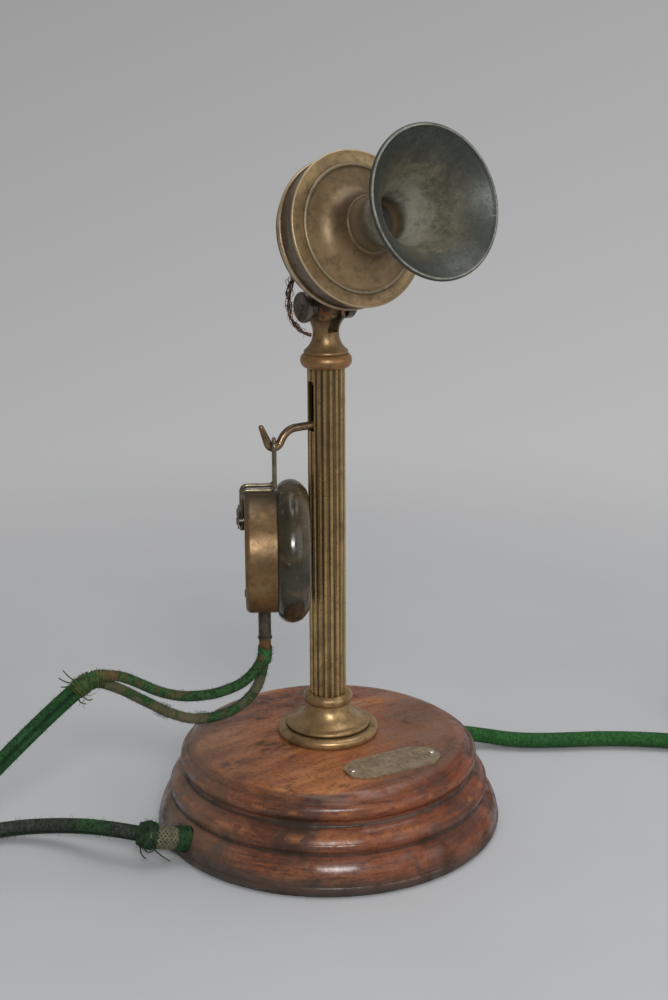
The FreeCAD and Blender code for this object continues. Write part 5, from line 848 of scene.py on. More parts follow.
def tube(name, along, sides, section):
    """A closed tube: section(angle, distance) gives its radius. UV holds the turn and the metres along."""
    shape = bmesh.new()
    sheet = shape.loops.layers.uv.new("cloth")
    rings = []
    for here, gone, heading, side, other in along:
        ring = []
        for step in range(sides):
            angle = 2 * math.pi * step / sides
            reach = section(angle, gone)
            ring.append(shape.verts.new(here + (side * math.cos(angle) + other * math.sin(angle)) * reach))
        rings.append(ring)
    for lower, upper, low_row, high_row in zip(rings, rings[1:], along, along[1:]):
        low = low_row[1]
        high = high_row[1]
        for step in range(sides):
            after = (step + 1) % sides
            face = shape.faces.new((lower[step], lower[after], upper[after], upper[step]))
            face.smooth = True
            corners = ((step, low), (step + 1, low), (step + 1, high), (step, high))
            for loop, (turn, gone) in zip(face.loops, corners):
                loop[sheet].uv = (turn / sides, gone)
    shape.faces.new(list(reversed(rings[0])))
    shape.faces.new(rings[-1])
    return mesh_from(shape, name)


def braid_group():
    """Braided cloth: two families of threads that cross over and under each other."""
    group, given = new_group(
        "braided_cloth", "ShaderNodeTree",
        (("Float", ("Threads", "Pitch", "Fading")), ("Color", ("Light", "Shade", "Faded"))),
        (("Color", ("Color",)), ("Float", ("Height",))),
    )
    coordinates = add(group, "ShaderNodeTexCoord").outputs
    sheet = split(group, coordinates["UV"])
    turns = times(group, sheet["X"], given["Threads"])
    steps = maths(group, "DIVIDE", sheet["Y"], given["Pitch"])
    one = plus(group, turns, steps)
    other = maths(group, "SUBTRACT", turns, steps)
    over = plus(group, maths(group, "FLOOR", one), maths(group, "FLOOR", other))
    over = maths(group, "GREATER_THAN", maths(group, "FLOORED_MODULO", over, 2.0), 0.5)
    first, second = [
        maths(group, "SINE", times(group, maths(group, "FRACT", family), math.pi)) for family in (one, other)
    ]
    raised = add(group, "ShaderNodeMix", {0: over, 2: first, 3: second}, data_type="FLOAT").outputs[0]
    where = coordinates["Object"]
    lint = noise(group, where, 2600.0, 3.0, 0.6)
    clouds = noise(group, where, 130.0, 5.0, 0.62, 0.4)
    tufts = noise(group, where, 620.0, 4.0, 0.7)
    tone = mixed(group, stepped(group, raised, 0.05, 0.75), given["Shade"], given["Light"])
    tone = mixed(group, stepped(group, clouds, 0.4, 0.7, 0.0, 0.5), tone, given["Shade"])
    tone = mixed(group, stepped(group, tufts, 0.44, 0.6, 0.0, 0.8), tone, given["Shade"])
    fading = plus(group, given["Fading"], maths(group, "SUBTRACT", clouds, 0.5), 1.6)
    worn = mixed(group, stepped(group, raised, 0.0, 0.8, 0.4, 1.0), given["Shade"], given["Faded"])
    tone = mixed(group, stepped(group, fading, 0.35, 0.75), tone, worn)
    tone = mixed(group, stepped(group, lint, 0.35, 0.75, 0.0, 0.35), tone, given["Faded"], "SOFT_LIGHT")
    add(group, "NodeGroupOutput", {"Color": tone, "Height": plus(group, raised, lint, 0.6)})
    return group


braided_cloth = braid_group()


def cloth_surface(tree, shader, colour, height):
    """A cloth's dull surface, raised by its weave."""
    fill(tree, shader, {"Base Color": colour, "Roughness": 0.85, "Specular IOR Level": 0.25})
    bumped(tree, shader, height, 0.7, 0.0004)


def cord_cloth(name, threads, pitch, light, shade, faded, length, fades):
    """A cord's braided cover. Fades are places, as shares of its length, and how faded it is there."""
    material, tree, shader = finish(name)
    sheet = split(tree, add(tree, "ShaderNodeTexCoord").outputs["UV"])
    cover = add(tree, "ShaderNodeGroup", {
        "Threads": threads, "Pitch": pitch, "Light": (*light, 1.0), "Shade": (*shade, 1.0),
        "Faded": (*faded, 1.0), "Fading": banded(tree, maths(tree, "DIVIDE", sheet["Y"], length), *fades),
    }, node_tree=braided_cloth).outputs
    cloth_surface(tree, shader, cover["Color"], cover["Height"])
    return material


def thread_finish(name, light, shade):
    """Twisted cotton thread, mottled from light to shade."""
    material, tree, shader = finish(name)
    where = object_place(tree)
    lint = noise(tree, where, 3600.0, 2.0)
    mottle = plus(tree, times(tree, noise(tree, where, 420.0, 5.0, 0.7), 0.75), lint, 0.25)
    fill(tree, shader, {
        "Base Color": ramped(tree, mottle, (0.38, shade), (0.62, light)),
        "Roughness": 0.8,
        "Specular IOR Level": 0.25,
    })
    bumped(tree, shader, lint, 0.4, 0.0002)
    return material


def made_real(tree, geometry, material):
    """The end of a Geometry Nodes tree: instances made real, with their finish."""
    real = add(tree, "GeometryNodeRealizeInstances", {0: geometry})
    coloured = add(tree, "GeometryNodeSetMaterial", {"Geometry": real.outputs[0], "Material": material})
    add(tree, "NodeGroupOutput", {0: coloured.outputs[0]})


def fray_tree():
    """Fibres that stand out of a surface, with a fixed seed."""
    tree, given = new_group("frayed_fibres", "GeometryNodeTree", (
        ("Geometry", ("Geometry",)), ("Float", ("Density", "Shortest", "Longest", "Lean")),
        ("Int", ("Seed",)), ("Object", ("Fibre",)), ("Material", ("Cloth",)),
    ), (("Geometry", ("Geometry",)),))
    roots = add(tree, "GeometryNodeDistributePointsOnFaces", {
        "Mesh": given["Geometry"], "Density": given["Density"], "Seed": given["Seed"],
    }).outputs
    shape = add(tree, "GeometryNodeObjectInfo", {"Object": given["Fibre"]}).outputs["Geometry"]
    size = add(tree, "FunctionNodeRandomValue", {
        2: given["Shortest"], 3: given["Longest"], "Seed": given["Seed"],
    }, data_type="FLOAT").outputs[1]
    planted = add(tree, "GeometryNodeInstanceOnPoints", {
        "Points": roots["Points"], "Instance": shape, "Rotation": roots["Rotation"], "Scale": size,
    })
    lean_low = add(tree, "ShaderNodeCombineXYZ", {0: times(tree, given["Lean"], -1.0), 1: 0.0, 2: 0.0})
    lean_high = add(tree, "ShaderNodeCombineXYZ", {0: given["Lean"], 1: 0.0, 2: 2 * math.pi})
    sway = add(tree, "FunctionNodeRandomValue", {
        0: lean_low.outputs[0], 1: lean_high.outputs[0], "Seed": given["Seed"],
    }, data_type="FLOAT_VECTOR").outputs[0]
    turned = add(tree, "GeometryNodeRotateInstances", {"Instances": planted.outputs[0], "Rotation": sway})
    made_real(tree, turned.outputs[0], given["Cloth"])
    return tree


def grown(name, tree, start, inputs):
    """The plain mesh that a Geometry Nodes tree makes from a mesh."""
    holder = bpy.data.objects.new(name, start)
    scene.collection.objects.link(holder)
    maker = holder.modifiers.new("maker", "NODES")
    maker.node_group = tree
    for socket in tree.interface.items_tree:
        if socket.item_type == "SOCKET" and socket.in_out == "INPUT" and socket.name in inputs:
            maker[socket.identifier] = inputs[socket.name]
    depsgraph = bpy.context.evaluated_depsgraph_get()
    mesh = bpy.data.meshes.new_from_object(
        holder.evaluated_get(depsgraph), preserve_all_data_layers=True, depsgraph=depsgraph,
    )
    mesh.name = name
    holder.modifiers.remove(maker)
    bpy.data.objects.remove(holder)
    return mesh


third_turn = 2.094
fibre_shape = bmesh.new()
fibre_rings = []
for step in range(4):
    share = step / 3
    middle = Vector((0.35 * share * share, 0.12 * math.sin(3.0 * share), share * 0.92))
    thick = 0.045 * (1.0 - 0.7 * share)
    turns = [third_turn * corner for corner in range(3)]
    corners = [Vector((math.cos(turn), math.sin(turn), 0.0)) for turn in turns]
    fibre_rings.append([fibre_shape.verts.new(middle + corner * thick) for corner in corners])
bridged(fibre_shape, fibre_rings)
fibre_shape.faces.new(list(reversed(fibre_rings[0])))
fibre_shape.faces.new(fibre_rings[-1])
one_fibre = bpy.data.objects.new("one_fibre", mesh_from(fibre_shape, "one_fibre"))
wisp_line = []
for step in range(11):
    share = step / 10
    across = 0.62 * share * share + 0.10 * math.sin(7.0 * share)
    wisp_line.append(Vector((across, 0.20 * math.sin(4.4 * share), 0.72 * share - 0.22 * share ** 3)))
one_wisp = bpy.data.objects.new("one_wisp", tube(
    "one_wisp", stations(wisp_line, (0.0, 1.0, 0.0)), 4, lambda angle, gone: 0.021 * (1.0 - 0.5 * gone),
))
frayed_fibres = fray_tree()


def frayed(name, cover, material, density, shortest, longest, seed, lean=0.9, body=None):
    """Fibres that stand out of a cord's cover, as a piece: thick short ones or thin long wisps."""
    mesh = grown(name, frayed_fibres, cover.copy(), {
        "Density": density, "Shortest": shortest, "Longest": longest, "Lean": lean, "Seed": seed,
        "Fibre": one_wisp if longest > wisp_length else one_fibre, "Cloth": material,
    })
    for vertex in mesh.vertices:
        vertex.co.z = max(vertex.co.z, lowest_thread)
    return piece(name, mesh, material, body)


def branch_section(angle, gone):
    """A round cord with slight swellings."""
    return branch_radius * (1.0 + 0.03 * math.sin(230 * gone + 1.3) * math.cos(angle + 310 * gone))


branch_a_route = [
    (-0.03209, 0.00066, 0.08425), (-0.0358, 0.0008, 0.078), (-0.0414, 0.0026, 0.0728),
    (-0.0488, 0.0054, 0.0696), (-0.0582, 0.009, 0.0682), (-0.0684, 0.0129, 0.0692),
    (-0.0774, 0.0164, 0.0729), (-0.086, 0.02, 0.0786), (-0.0936, 0.0229, 0.0818),
    (-0.0994, 0.0252, 0.0816),
]
branch_b_route = [
    (-0.02928, 0.0047, 0.08495), (-0.02978, 0.005, 0.07745), (-0.0334, 0.005, 0.0672),
    (-0.0392, 0.0072, 0.0606), (-0.0482, 0.0106, 0.0562), (-0.058, 0.0144, 0.0554),
    (-0.0676, 0.018, 0.0586), (-0.0772, 0.0216, 0.0652), (-0.086, 0.0249, 0.0714),
    (-0.0924, 0.0273, 0.0754), (-0.097, 0.029, 0.077),
]
branch_a_fades = (
    (0.0, 0.62), (0.06, 0.3), (0.35, 0.15), (0.55, 0.5), (0.68, 0.35), (0.84, 0.45), (0.93, 0.85), (1.0, 0.6),
)
branch_b_fades = (
    (0.0, 0.55), (0.15, 0.6), (0.3, 0.45), (0.44, 0.3), (0.5, 0.85), (0.66, 0.75), (0.75, 0.4), (0.9, 0.7),
    (1.0, 0.5),
)
torn_green = thread_finish("torn_green", (0.024, 0.085, 0.022), (0.008, 0.026, 0.009))
for branch, length, route, fades, faded, torn_places in (
    ("a", 0.0805, branch_a_route, branch_a_fades, faded_orange, ()),
    ("b", 0.0952, branch_b_route, branch_b_fades, faded_brown, (0.046, 0.064)),
):
    line = laid_line("branch_line_" + branch, route)
    along = stations(line, (0.0, 0.0, 1.0))
    cover = tube("receiver_branch_" + branch, along, 20, branch_section)
    cloth = cord_cloth(
        "branch_cloth_" + branch, threads=14.0, pitch=0.0016, light=bright_green, shade=deep_green,
        faded=faded, length=length, fades=fades,
    )
    cord_piece = piece("receiver_branch_" + branch, cover, cloth)
    fuzz_seed = 11 + len(route)
    fuzz = frayed(
        "branch_fibres_" + branch, cover, cloth, density=1.4e6, shortest=0.0004,
        longest=0.0013, seed=fuzz_seed,
    )
    torn = []
    for torn_place in torn_places:
        torn_rows = [row for row in along if abs(row[1] - torn_place) < tear_reach]
        torn_patch = tube("torn_patch", torn_rows, 12, lambda angle, gone: branch_radius)
        torn.append(frayed(
            "branch_tear_%d" % (1000 * torn_place), torn_patch, torn_green, density=2.2e6,
            shortest=0.0009, longest=0.0032, seed=17, lean=1.2,
        ))
    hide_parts("receiver_cord_branch_" + branch)
    for held in (cord_piece, fuzz, *torn):
        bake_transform(held)

# Thread binding under the receiver's ferrule: waxed thread, orange brown, wound in close
# turns over the two branches' ends, with a looser green one below it.
binding_across = (-0.03068, 0.00268)
binding_radius = 0.00222
binding_heights = (0.0853, 0.0878, 0.0902)
whipping_bottom = 0.0854


def whipping_tree():
    """A thread wound in close turns round an upright axis."""
    tree, given = new_group("thread_whipping", "GeometryNodeTree", (
        ("Geometry", ("Geometry",)), ("Float", ("Turns", "Bottom Radius", "Top Radius", "Height", "Thread")),
        ("Material", ("Cloth",)),
    ), (("Geometry", ("Geometry",)),))
    spiral = add(tree, "GeometryNodeCurveSpiral", {
        "Resolution": 28, "Rotations": given["Turns"], "Start Radius": given["Bottom Radius"],
        "End Radius": given["Top Radius"], "Height": given["Height"],
    })
    round_thread = add(tree, "GeometryNodeCurvePrimitiveCircle", {"Resolution": 7, "Radius": given["Thread"]})
    solid = add(tree, "GeometryNodeCurveToMesh", {
        "Curve": spiral.outputs[0], "Profile Curve": round_thread.outputs[0], "Fill Caps": True,
    })
    smooth = add(tree, "GeometryNodeSetShadeSmooth", {"Geometry": solid.outputs[0]})
    made_real(tree, smooth.outputs[0], given["Cloth"])
    return tree


def even_rows(line, step, upwards):
    """The stations of a line at even steps along it."""
    rows = stations(line, upwards)
    spots = []
    index = 0
    for count in range(int(rows[-1][1] / step) + 1):
        gone = min(count * step, rows[-1][1])
        while index < len(rows) - 2 and rows[index + 1][1] < gone:
            index += 1
        low, high = rows[index], rows[index + 1]
        spots.append(low[0].lerp(high[0], (gone - low[1]) / (high[1] - low[1])))
    return stations(spots, upwards)


def wound(name, rows, section, turns, thread, seed, loose=0.45):
    """A thread wound in uneven slanting turns round a core, the more so the looser it is."""
    shake = Random(seed)
    wander = [shake.uniform(-1.0, 1.0) for _ in range(int(turns) + 3)]
    per_turn = 26
    steps = int(turns * per_turn)
    last = len(rows) - 1
    spots = []
    for step in range(steps + 1):
        lap = step // per_turn
        part = step / per_turn - lap
        slip = wander[lap] * (1.0 - part) + wander[lap + 1] * part
        slip += 0.6 * loose * wander[lap] * math.cos(2 * math.pi * part)
        place_along = min(max(step / steps * last + slip * last / turns * loose, 0.0), last - 0.001)
        here, gone, heading, side, other = rows[int(place_along)]
        here = here.lerp(rows[int(place_along) + 1][0], place_along - int(place_along))
        angle = 2 * math.pi * step / per_turn
        reach = section(angle, gone) + thread * (0.9 + 0.25 * wander[lap])
        spots.append(here + (side * math.cos(angle) + other * math.sin(angle)) * reach)
    return tube(name, stations(spots, (0.3, 0.2, 0.9)), 6, lambda angle, gone: thread)


def oval(tall, wide):
    """An oval section, tall along the first direction across a line and wide along the second."""
    return lambda angle, gone: tall * wide / math.hypot(wide * math.cos(angle), tall * math.sin(angle))


waxed_thread = thread_finish("waxed_thread", (0.17, 0.072, 0.022), (0.045, 0.036, 0.016))
binding_mesh = grown("ferrule_binding", whipping_tree(), bpy.data.meshes.new("binding_start"), {
    "Turns": 13.0, "Bottom Radius": 0.00225, "Top Radius": 0.00235, "Height": 0.0048, "Thread": 0.00024,
    "Cloth": waxed_thread,
})
binding_mesh.transform(Matrix.Translation((*binding_across, whipping_bottom)))
piece("ferrule_binding", binding_mesh, waxed_thread, "receiver", ["cord_binding"])
binding_line = [Vector((*binding_across, height)) for height in binding_heights]
binding_core = tube(
    "binding_core", stations(binding_line, (1.0, 0.0, 0.0)), 24, lambda angle, gone: binding_radius,
)
piece("binding_core", binding_core, waxed_thread, "receiver")
green_thread = thread_finish("green_thread", (0.035, 0.125, 0.035), (0.012, 0.040, 0.014))
crotch_line = [Vector(spot) for spot in (
    (*binding_across, 0.0866), (-0.0308, 0.0027, 0.0835), (-0.0312, 0.0028, 0.0800),
)]
crotch_rows = even_rows(crotch_line, 0.0003, (-0.57, -0.82, 0.0))
green_binding = wound("green_binding", crotch_rows, oval(0.0045, 0.0025), turns=14, thread=0.00028, seed=5)
piece("green_binding", green_binding, green_thread, "receiver")
frayed(
    "binding_fibres", green_binding, green_thread, density=0.5e6, shortest=0.0007,
    longest=0.0018, seed=5, body="receiver",
)

# Receiver cord: both branches under one green cover with a groove between them. It drops
# to the table, turns back and rises into the base's side, darker where it was handled.
receiver_cord_length = 0.4587
receiver_cord_radius = 0.0036
receiver_cord_route = [
    (-0.1016, 0.0284, 0.0794), (-0.1096, 0.0312, 0.073), (-0.1216, 0.0356, 0.062), (-0.137, 0.0412, 0.047),
    (-0.156, 0.0462, 0.029), (-0.179, 0.05, 0.0134), (-0.205, 0.0552, 0.0052), (-0.231, 0.056, 0.004),
    (-0.2526, 0.0454, 0.004), (-0.2574, 0.0226, 0.004), (-0.2426, 0.0026, 0.004), (-0.218, -0.0034, 0.004),
    (-0.1954, 0.0104, 0.004), (-0.1794, 0.0326, 0.004), (-0.1636, 0.055, 0.004), (-0.1488, 0.0646, 0.004),
    (-0.1334, 0.0642, 0.0046), (-0.1212, 0.0568, 0.006), (-0.1118, 0.0466, 0.008), (-0.1062, 0.036, 0.0106),
    (-0.1022, 0.0262, 0.0129), (-0.0982, 0.0166, 0.0146), (-0.0916, 0.008, 0.0144), (-0.0816, 0.0014, 0.0116),
    (-0.071, 0.0, 0.0096),
]
cord_front = (-0.57, -0.82, 0.1)
receiver_cord_line = laid_line("receiver_cord_line", receiver_cord_route)
receiver_cord_along = stations(receiver_cord_line, cord_front)


def twin_section(angle, gone):
    """Two cords side by side: wider than thick, with a groove on the two flat sides."""
    across = abs(math.sin(angle))
    return receiver_cord_radius * (0.86 + 0.16 * across ** 2 - 0.16 * math.exp(-(across / 0.22) ** 2))


handled_cloth, tree, shader = finish("receiver_cord_cloth")
sheet = split(tree, add(tree, "ShaderNodeTexCoord").outputs["UV"])
share = maths(tree, "DIVIDE", sheet["Y"], receiver_cord_length)
handled_light = ramped(
    tree, share, (0.0, (0.028, 0.112, 0.027)), (0.5, (0.028, 0.112, 0.027)), (0.7, (0.070, 0.078, 0.060)),
    (0.87, (0.064, 0.074, 0.056)), (0.895, (0.042, 0.150, 0.036)), (0.91, (0.042, 0.140, 0.036)),
    (0.93, (0.058, 0.070, 0.050)), (1.0, (0.018, 0.042, 0.020)),
)
handled_shade = ramped(
    tree, share, (0.0, (0.004, 0.032, 0.007)), (0.5, (0.004, 0.032, 0.007)), (0.7, (0.015, 0.017, 0.014)),
    (1.0, (0.009, 0.014, 0.009)),
)
cover = add(tree, "ShaderNodeGroup", {
    "Threads": 22.0, "Pitch": 0.0018, "Light": handled_light, "Shade": handled_shade,
    "Faded": (0.040, 0.055, 0.026, 1.0), "Fading": 0.2,
}, node_tree=braided_cloth).outputs
groove = maths(tree, "ABSOLUTE", maths(tree, "SINE", times(tree, sheet["X"], 2 * math.pi)))
groove_shade = stepped(tree, groove, 0.5, 0.05, 0.0, 0.8)
colour = mixed(tree, groove_shade, cover["Color"], (0.004, 0.016, 0.007))
cloth_surface(tree, shader, colour, cover["Height"])
receiver_cover = tube("receiver_cord_cover", receiver_cord_along, 28, twin_section)
receiver_cord = piece(
    "receiver_cord_cover", receiver_cover, handled_cloth, "base", ["receiver_cord"],
)
receiver_cord_fibres = frayed(
    "receiver_cord_fibres", receiver_cover, handled_cloth, density=0.22e6, shortest=0.0007,
    longest=0.0019, seed=23, body="base",
)

# Tie: olive thread wound over the ends of both branches and the start of the single cord,
# flat and wide over the branches, with loose ends.
tie_line = laid_line("tie_line", [
    (-0.0952, 0.0259, 0.0792), (-0.0978, 0.0268, 0.0797), (-0.1008, 0.0280, 0.0793),
    (-0.1042, 0.0292, 0.0774), (-0.1070, 0.0303, 0.0751),
])
tie_rows = even_rows(tie_line, 0.0004, (-0.24, -0.60, 0.76))
tie_narrowing = 0.0105
tie_over_branches = (0.0050, 0.0027)
tie_over_cord = (0.0037, 0.0035)


def tie_section(angle, gone):
    """Wide over the two branches, round over the single cord."""
    share = min(gone / tie_narrowing, 1.0)
    share = share * share * (3 - 2 * share)
    pairs = zip(tie_over_branches, tie_over_cord)
    tall, wide = [first * (1 - share) + last * share for first, last in pairs]
    return oval(tall, wide)(angle, gone)


def loose_ends(name, material, forwards, ends):
    """Loose ends of a thread, each from a spot on a cord through places to the right of it and above it."""
    shape = bmesh.new()
    for here, places in ends:
        front = here - Vector((0.57, 0.82, 0.0)) * forwards
        spots = [front + Vector((0.82 * across, -0.57 * across, upwards)) for across, upwards in places]
        end_rows = stations(laid_line("one_end", spots), (0.0, 1.0, 0.3))
        shape.from_mesh(tube("one_end", end_rows, 6, lambda angle, gone: 0.00034 - 0.012 * gone))
    mesh = mesh_from(shape, name)
    for vertex in mesh.vertices:
        vertex.co.z = max(vertex.co.z, lowest_thread)
    return piece(name, mesh, material, "base")


olive_thread = thread_finish("olive_thread", (0.085, 0.110, 0.028), (0.012, 0.030, 0.010))
tie_mesh = wound("branch_tie", tie_rows, tie_section, turns=16, thread=0.00034, seed=3)
branch_tie = piece("branch_tie", tie_mesh, olive_thread, "base", ["receiver_cord_tie"])
tie_core_mesh = tube("tie_core", tie_rows[2:-2], 28, tie_section)
tie_core = piece("tie_core", tie_core_mesh, green_thread, "base")
tie_fibres = frayed(
    "tie_fibres", tie_mesh, olive_thread, density=0.35e6, shortest=0.0006, longest=0.0020,
    seed=31, lean=1.2, body="base",
)
tie_spot = tie_rows[int(0.8 * len(tie_rows))][0]
tie_ends = loose_ends("tie_ends", olive_thread, 0.0028, [(tie_spot, places) for places in (
    ((-0.0006, 0.0026), (-0.0022, 0.0044), (-0.0044, 0.0058), (-0.0064, 0.0086)),
    ((-0.0014, 0.0020), (-0.0034, 0.0030), (-0.0058, 0.0034), (-0.0084, 0.0052)),
    ((-0.0018, 0.0010), (-0.0038, 0.0016), (-0.0060, 0.0010), (-0.0076, 0.0012)),
    ((0.0016, 0.0034), (0.0012, 0.0054), (0.0028, 0.0066), (0.0046, 0.0060), (0.0050, 0.0044)),
    ((0.0010, -0.0026), (0.0024, -0.0042), (0.0042, -0.0050), (0.0052, -0.0042)),
    ((-0.0004, -0.0028), (-0.0006, -0.0048), (0.0008, -0.0062), (0.0026, -0.0064)),
)])
tie_tail = tube("tie_tail", tie_rows[int(0.62 * len(tie_rows)):-1], 16, tie_section)
tie_wisps = frayed(
    "tie_wisps", tie_tail, olive_thread, density=0.16e6, shortest=0.0030, longest=0.0078,
    seed=37, lean=1.25, body="base",
)

# Sleeve at the base: a short khaki stocking braided from twelve and twelve flat strands over
# the cord, whipped with dark thread at its outer end, and a frayed green collar at the wood.
sleeve_radius = 0.0043
sleeve_span = (0.0235, 0.0012)
sleeve_strands = 12
sleeve_lay = 330.0
cord_end = receiver_cord_along[-1][1]
sleeve_from, sleeve_to = [cord_end - before_end for before_end in sleeve_span]
sleeve_line = [row[0] for row in receiver_cord_along if sleeve_from < row[1] < sleeve_to]
sleeve_rows = even_rows(sleeve_line, 0.0005, cord_front)
whip_length = 0.0078
collar_length = 0.0058
whip_rows = sleeve_rows[0:16]
collar_rows = [row for row in sleeve_rows if sleeve_rows[-1][1] - collar_length < row[1]]
collar_start = collar_rows[0][1]


def sleeve_strand(lay, strand):
    """The stations of one flat strand that runs round the cord, over and under those of the other lay."""
    laid = []
    for here, gone, heading, side, other in sleeve_rows:
        lead = sleeve_lay * gone
        angle = 2 * math.pi * strand / sleeve_strands + lay * lead
        swell = 0.0003 * math.sin(min(gone / 0.004, 1.0) * math.pi / 2)
        outwards = side * math.cos(angle) + other * math.sin(angle)
        reach = sleeve_radius + swell + 0.00017 * lay * math.cos(sleeve_strands * lead)
        laid.append((here + outwards * reach, gone, outwards))
    ribbon = []
    for index, (here, gone, outwards) in enumerate(laid):
        before = laid[max(index - 1, 0)][0]
        after = laid[min(index + 1, len(laid) - 1)][0]
        heading = (after - before).normalized()
        outwards = (outwards - heading * outwards.dot(heading)).normalized()
        ribbon.append((here, gone, heading, outwards, heading.cross(outwards)))
    return ribbon


def whip_section(angle, gone):
    """The lumpy core of the whipping, thickest in the middle."""
    lump = math.sin(math.pi * min(gone / whip_length, 1.0))
    return 0.0041 + 0.0011 * lump * (1.1 + 0.5 * math.sin(3 * angle))


def collar_section(angle, gone):
    """The collar's core, a little uneven."""
    return 0.0046 + 0.0002 * math.sin(2 * angle + 900 * (gone - collar_start))


khaki = thread_finish("khaki_cotton", (0.140, 0.126, 0.080), (0.066, 0.060, 0.036))
sleeve_shape = bmesh.new()
for lay in (1.0, -1.0):
    for strand in range(sleeve_strands):
        sleeve_shape.from_mesh(tube("one_strand", sleeve_strand(lay, strand), 8, oval(0.00028, 0.00058)))
sleeve = piece(
    "cord_stocking", mesh_from(sleeve_shape, "cord_stocking"), khaki, "base",
    ["receiver_cord_sleeve"],
)
dark_thread = thread_finish("dark_green_thread", (0.016, 0.048, 0.016), (0.007, 0.012, 0.007))
whip_mesh = wound("stocking_whipping", whip_rows, whip_section, turns=24, thread=0.00038, seed=7, loose=2.2)
whipping = piece("stocking_whipping", whip_mesh, dark_thread, "base")
whip_fibres = frayed(
    "whipping_fibres", whip_mesh, dark_thread, density=0.30e6, shortest=0.0008, longest=0.0026,
    seed=41, lean=1.3, body="base",
)
whip_ends = loose_ends("whipping_ends", dark_thread, 0.0034, [(whip_rows[row][0], places) for row, places in (
    (2, ((0.0000, -0.0030), (-0.0006, -0.0056), (0.0004, -0.0084), (0.0016, -0.0098), (0.0021, -0.0094))),
    (3, ((0.0002, -0.0034), (0.0010, -0.0058), (0.0026, -0.0068), (0.0044, -0.0062), (0.0058, -0.0049))),
    (12, ((0.0004, -0.0040), (0.0016, -0.0056), (0.0032, -0.0070), (0.0052, -0.0086), (0.0072, -0.0098))),
    (6, ((-0.0004, 0.0046), (0.0006, 0.0060), (0.0018, 0.0056), (0.0026, 0.0046), (0.0034, 0.0030))),
    (9, ((0.0000, 0.0047), (-0.0014, 0.0062), (-0.0030, 0.0058), (-0.0040, 0.0044), (-0.0044, 0.0026))),
)])
collar_thread = thread_finish("collar_thread", (0.026, 0.074, 0.025), (0.005, 0.017, 0.007))
collar_mesh = wound(
    "frayed_collar", collar_rows, collar_section, turns=15, thread=0.00038, seed=13, loose=0.7,
)
collar = piece("frayed_collar", collar_mesh, collar_thread, "base")
collar_fibres = frayed(
    "collar_fibres", collar_mesh, collar_thread, density=0.30e6, shortest=0.0010,
    longest=0.0034, seed=47, lean=1.2, body="base",
)

# Line cord: bright green braid with a sewn seam along it, out of the base's other side
# and across the table into a round tied coil, with three spade terminals at its end.
line_cord_length = 1.4774
line_cord_diameter = 0.0074
line_cover_radius = 0.00362
coil_middle = Vector((0.25, -0.05, 0.0046))
coil_inner = 0.024
coil_pitch = 0.009
coil_rise = 0.0082
coil_steps = 20
seam_span = (0.004, 1.46)
seam_step = 0.0026
stitch_size = (0.00042, 0.00042, 0.0011)


def coil_spot(turn):
    """A point of the coil, counted in turns from where the lower layer goes over into the upper one."""
    reach = (coil_inner + coil_pitch * math.hypot(turn, 0.25)) / math.cos(math.pi / coil_steps)
    share = min(max(2 * turn + 0.5, 0.0), 1.0)
    angle = math.radians(221.0) + 2 * math.pi * (turn + 3.0)
    rise = coil_rise * share * share * (3 - 2 * share)
    return coil_middle + Vector((reach * math.cos(angle), reach * math.sin(angle), rise))


def stitch_tree():
    """One shape set along a line of points at even steps, turned to follow it."""
    tree, given = new_group("seam_stitches", "GeometryNodeTree", (
        ("Geometry", ("Geometry",)), ("Float", ("Step",)), ("Object", ("Stitch",)), ("Material", ("Cloth",)),
    ), (("Geometry", ("Geometry",)),))
    path = add(tree, "GeometryNodeMeshToCurve", {"Mesh": given["Geometry"]})
    steps = add(
        tree, "GeometryNodeCurveToPoints", {"Curve": path.outputs[0], "Length": given["Step"]}, mode="LENGTH",
    ).outputs
    shape = add(tree, "GeometryNodeObjectInfo", {"Object": given["Stitch"]}).outputs["Geometry"]
    sewn = add(tree, "GeometryNodeInstanceOnPoints", {
        "Points": steps["Points"], "Instance": shape, "Rotation": steps["Rotation"],
    })
    made_real(tree, sewn.outputs[0], given["Cloth"])
    return tree


line_cord_route = [Vector(spot) for spot in (
    (0.0692, 0.01985, 0.0096), (0.082, 0.0235, 0.0092), (0.094, 0.0216, 0.0076), (0.104, 0.0144, 0.0058),
    (0.113, 0.005, 0.0048), (0.124, -0.0036, 0.0046), (0.136, -0.011, 0.0046), (0.1506, -0.0196, 0.0046),
    (0.166, -0.0316, 0.0046), (0.181, -0.0464, 0.0046), (0.1965, -0.0662, 0.0046),
)]
line_cord_route += [coil_spot(-3.0 + step / coil_steps) for step in range(1, 108)]
line_cord_route += [Vector(spot) for spot in (
    (0.3009, -0.0316, 0.0125), (0.301, -0.0286, 0.0122), (0.2996, -0.0194, 0.0088),
    (0.2942, -0.0114, 0.0054), (0.2868, -0.0052, 0.0046),
)]
line_cord_line = laid_line("line_cord_line", line_cord_route)
line_cord_along = stations(line_cord_line, (0.0, 0.0, 1.0))
line_cover = tube("line_cord_cover", line_cord_along, 20, lambda angle, gone: line_cover_radius)
line_cloth = cord_cloth(
    "line_cord_cloth", threads=18.0, pitch=0.0017, light=(0.034, 0.140, 0.030),
    shade=(0.010, 0.048, 0.012), faded=(0.055, 0.100, 0.030), length=line_cord_length,
    fades=((0.0, 0.1), (1.0, 0.15)),
)
line_cord = piece(
    "line_cord_cover", line_cover, line_cloth, "base", ["line_cord", "line_cord_coil"],
)
line_fibres = frayed(
    "line_cord_fibres", line_cover, line_cloth, density=0.07e6, shortest=0.0006,
    longest=0.0015, seed=53, body="base",
)
seam_points = []
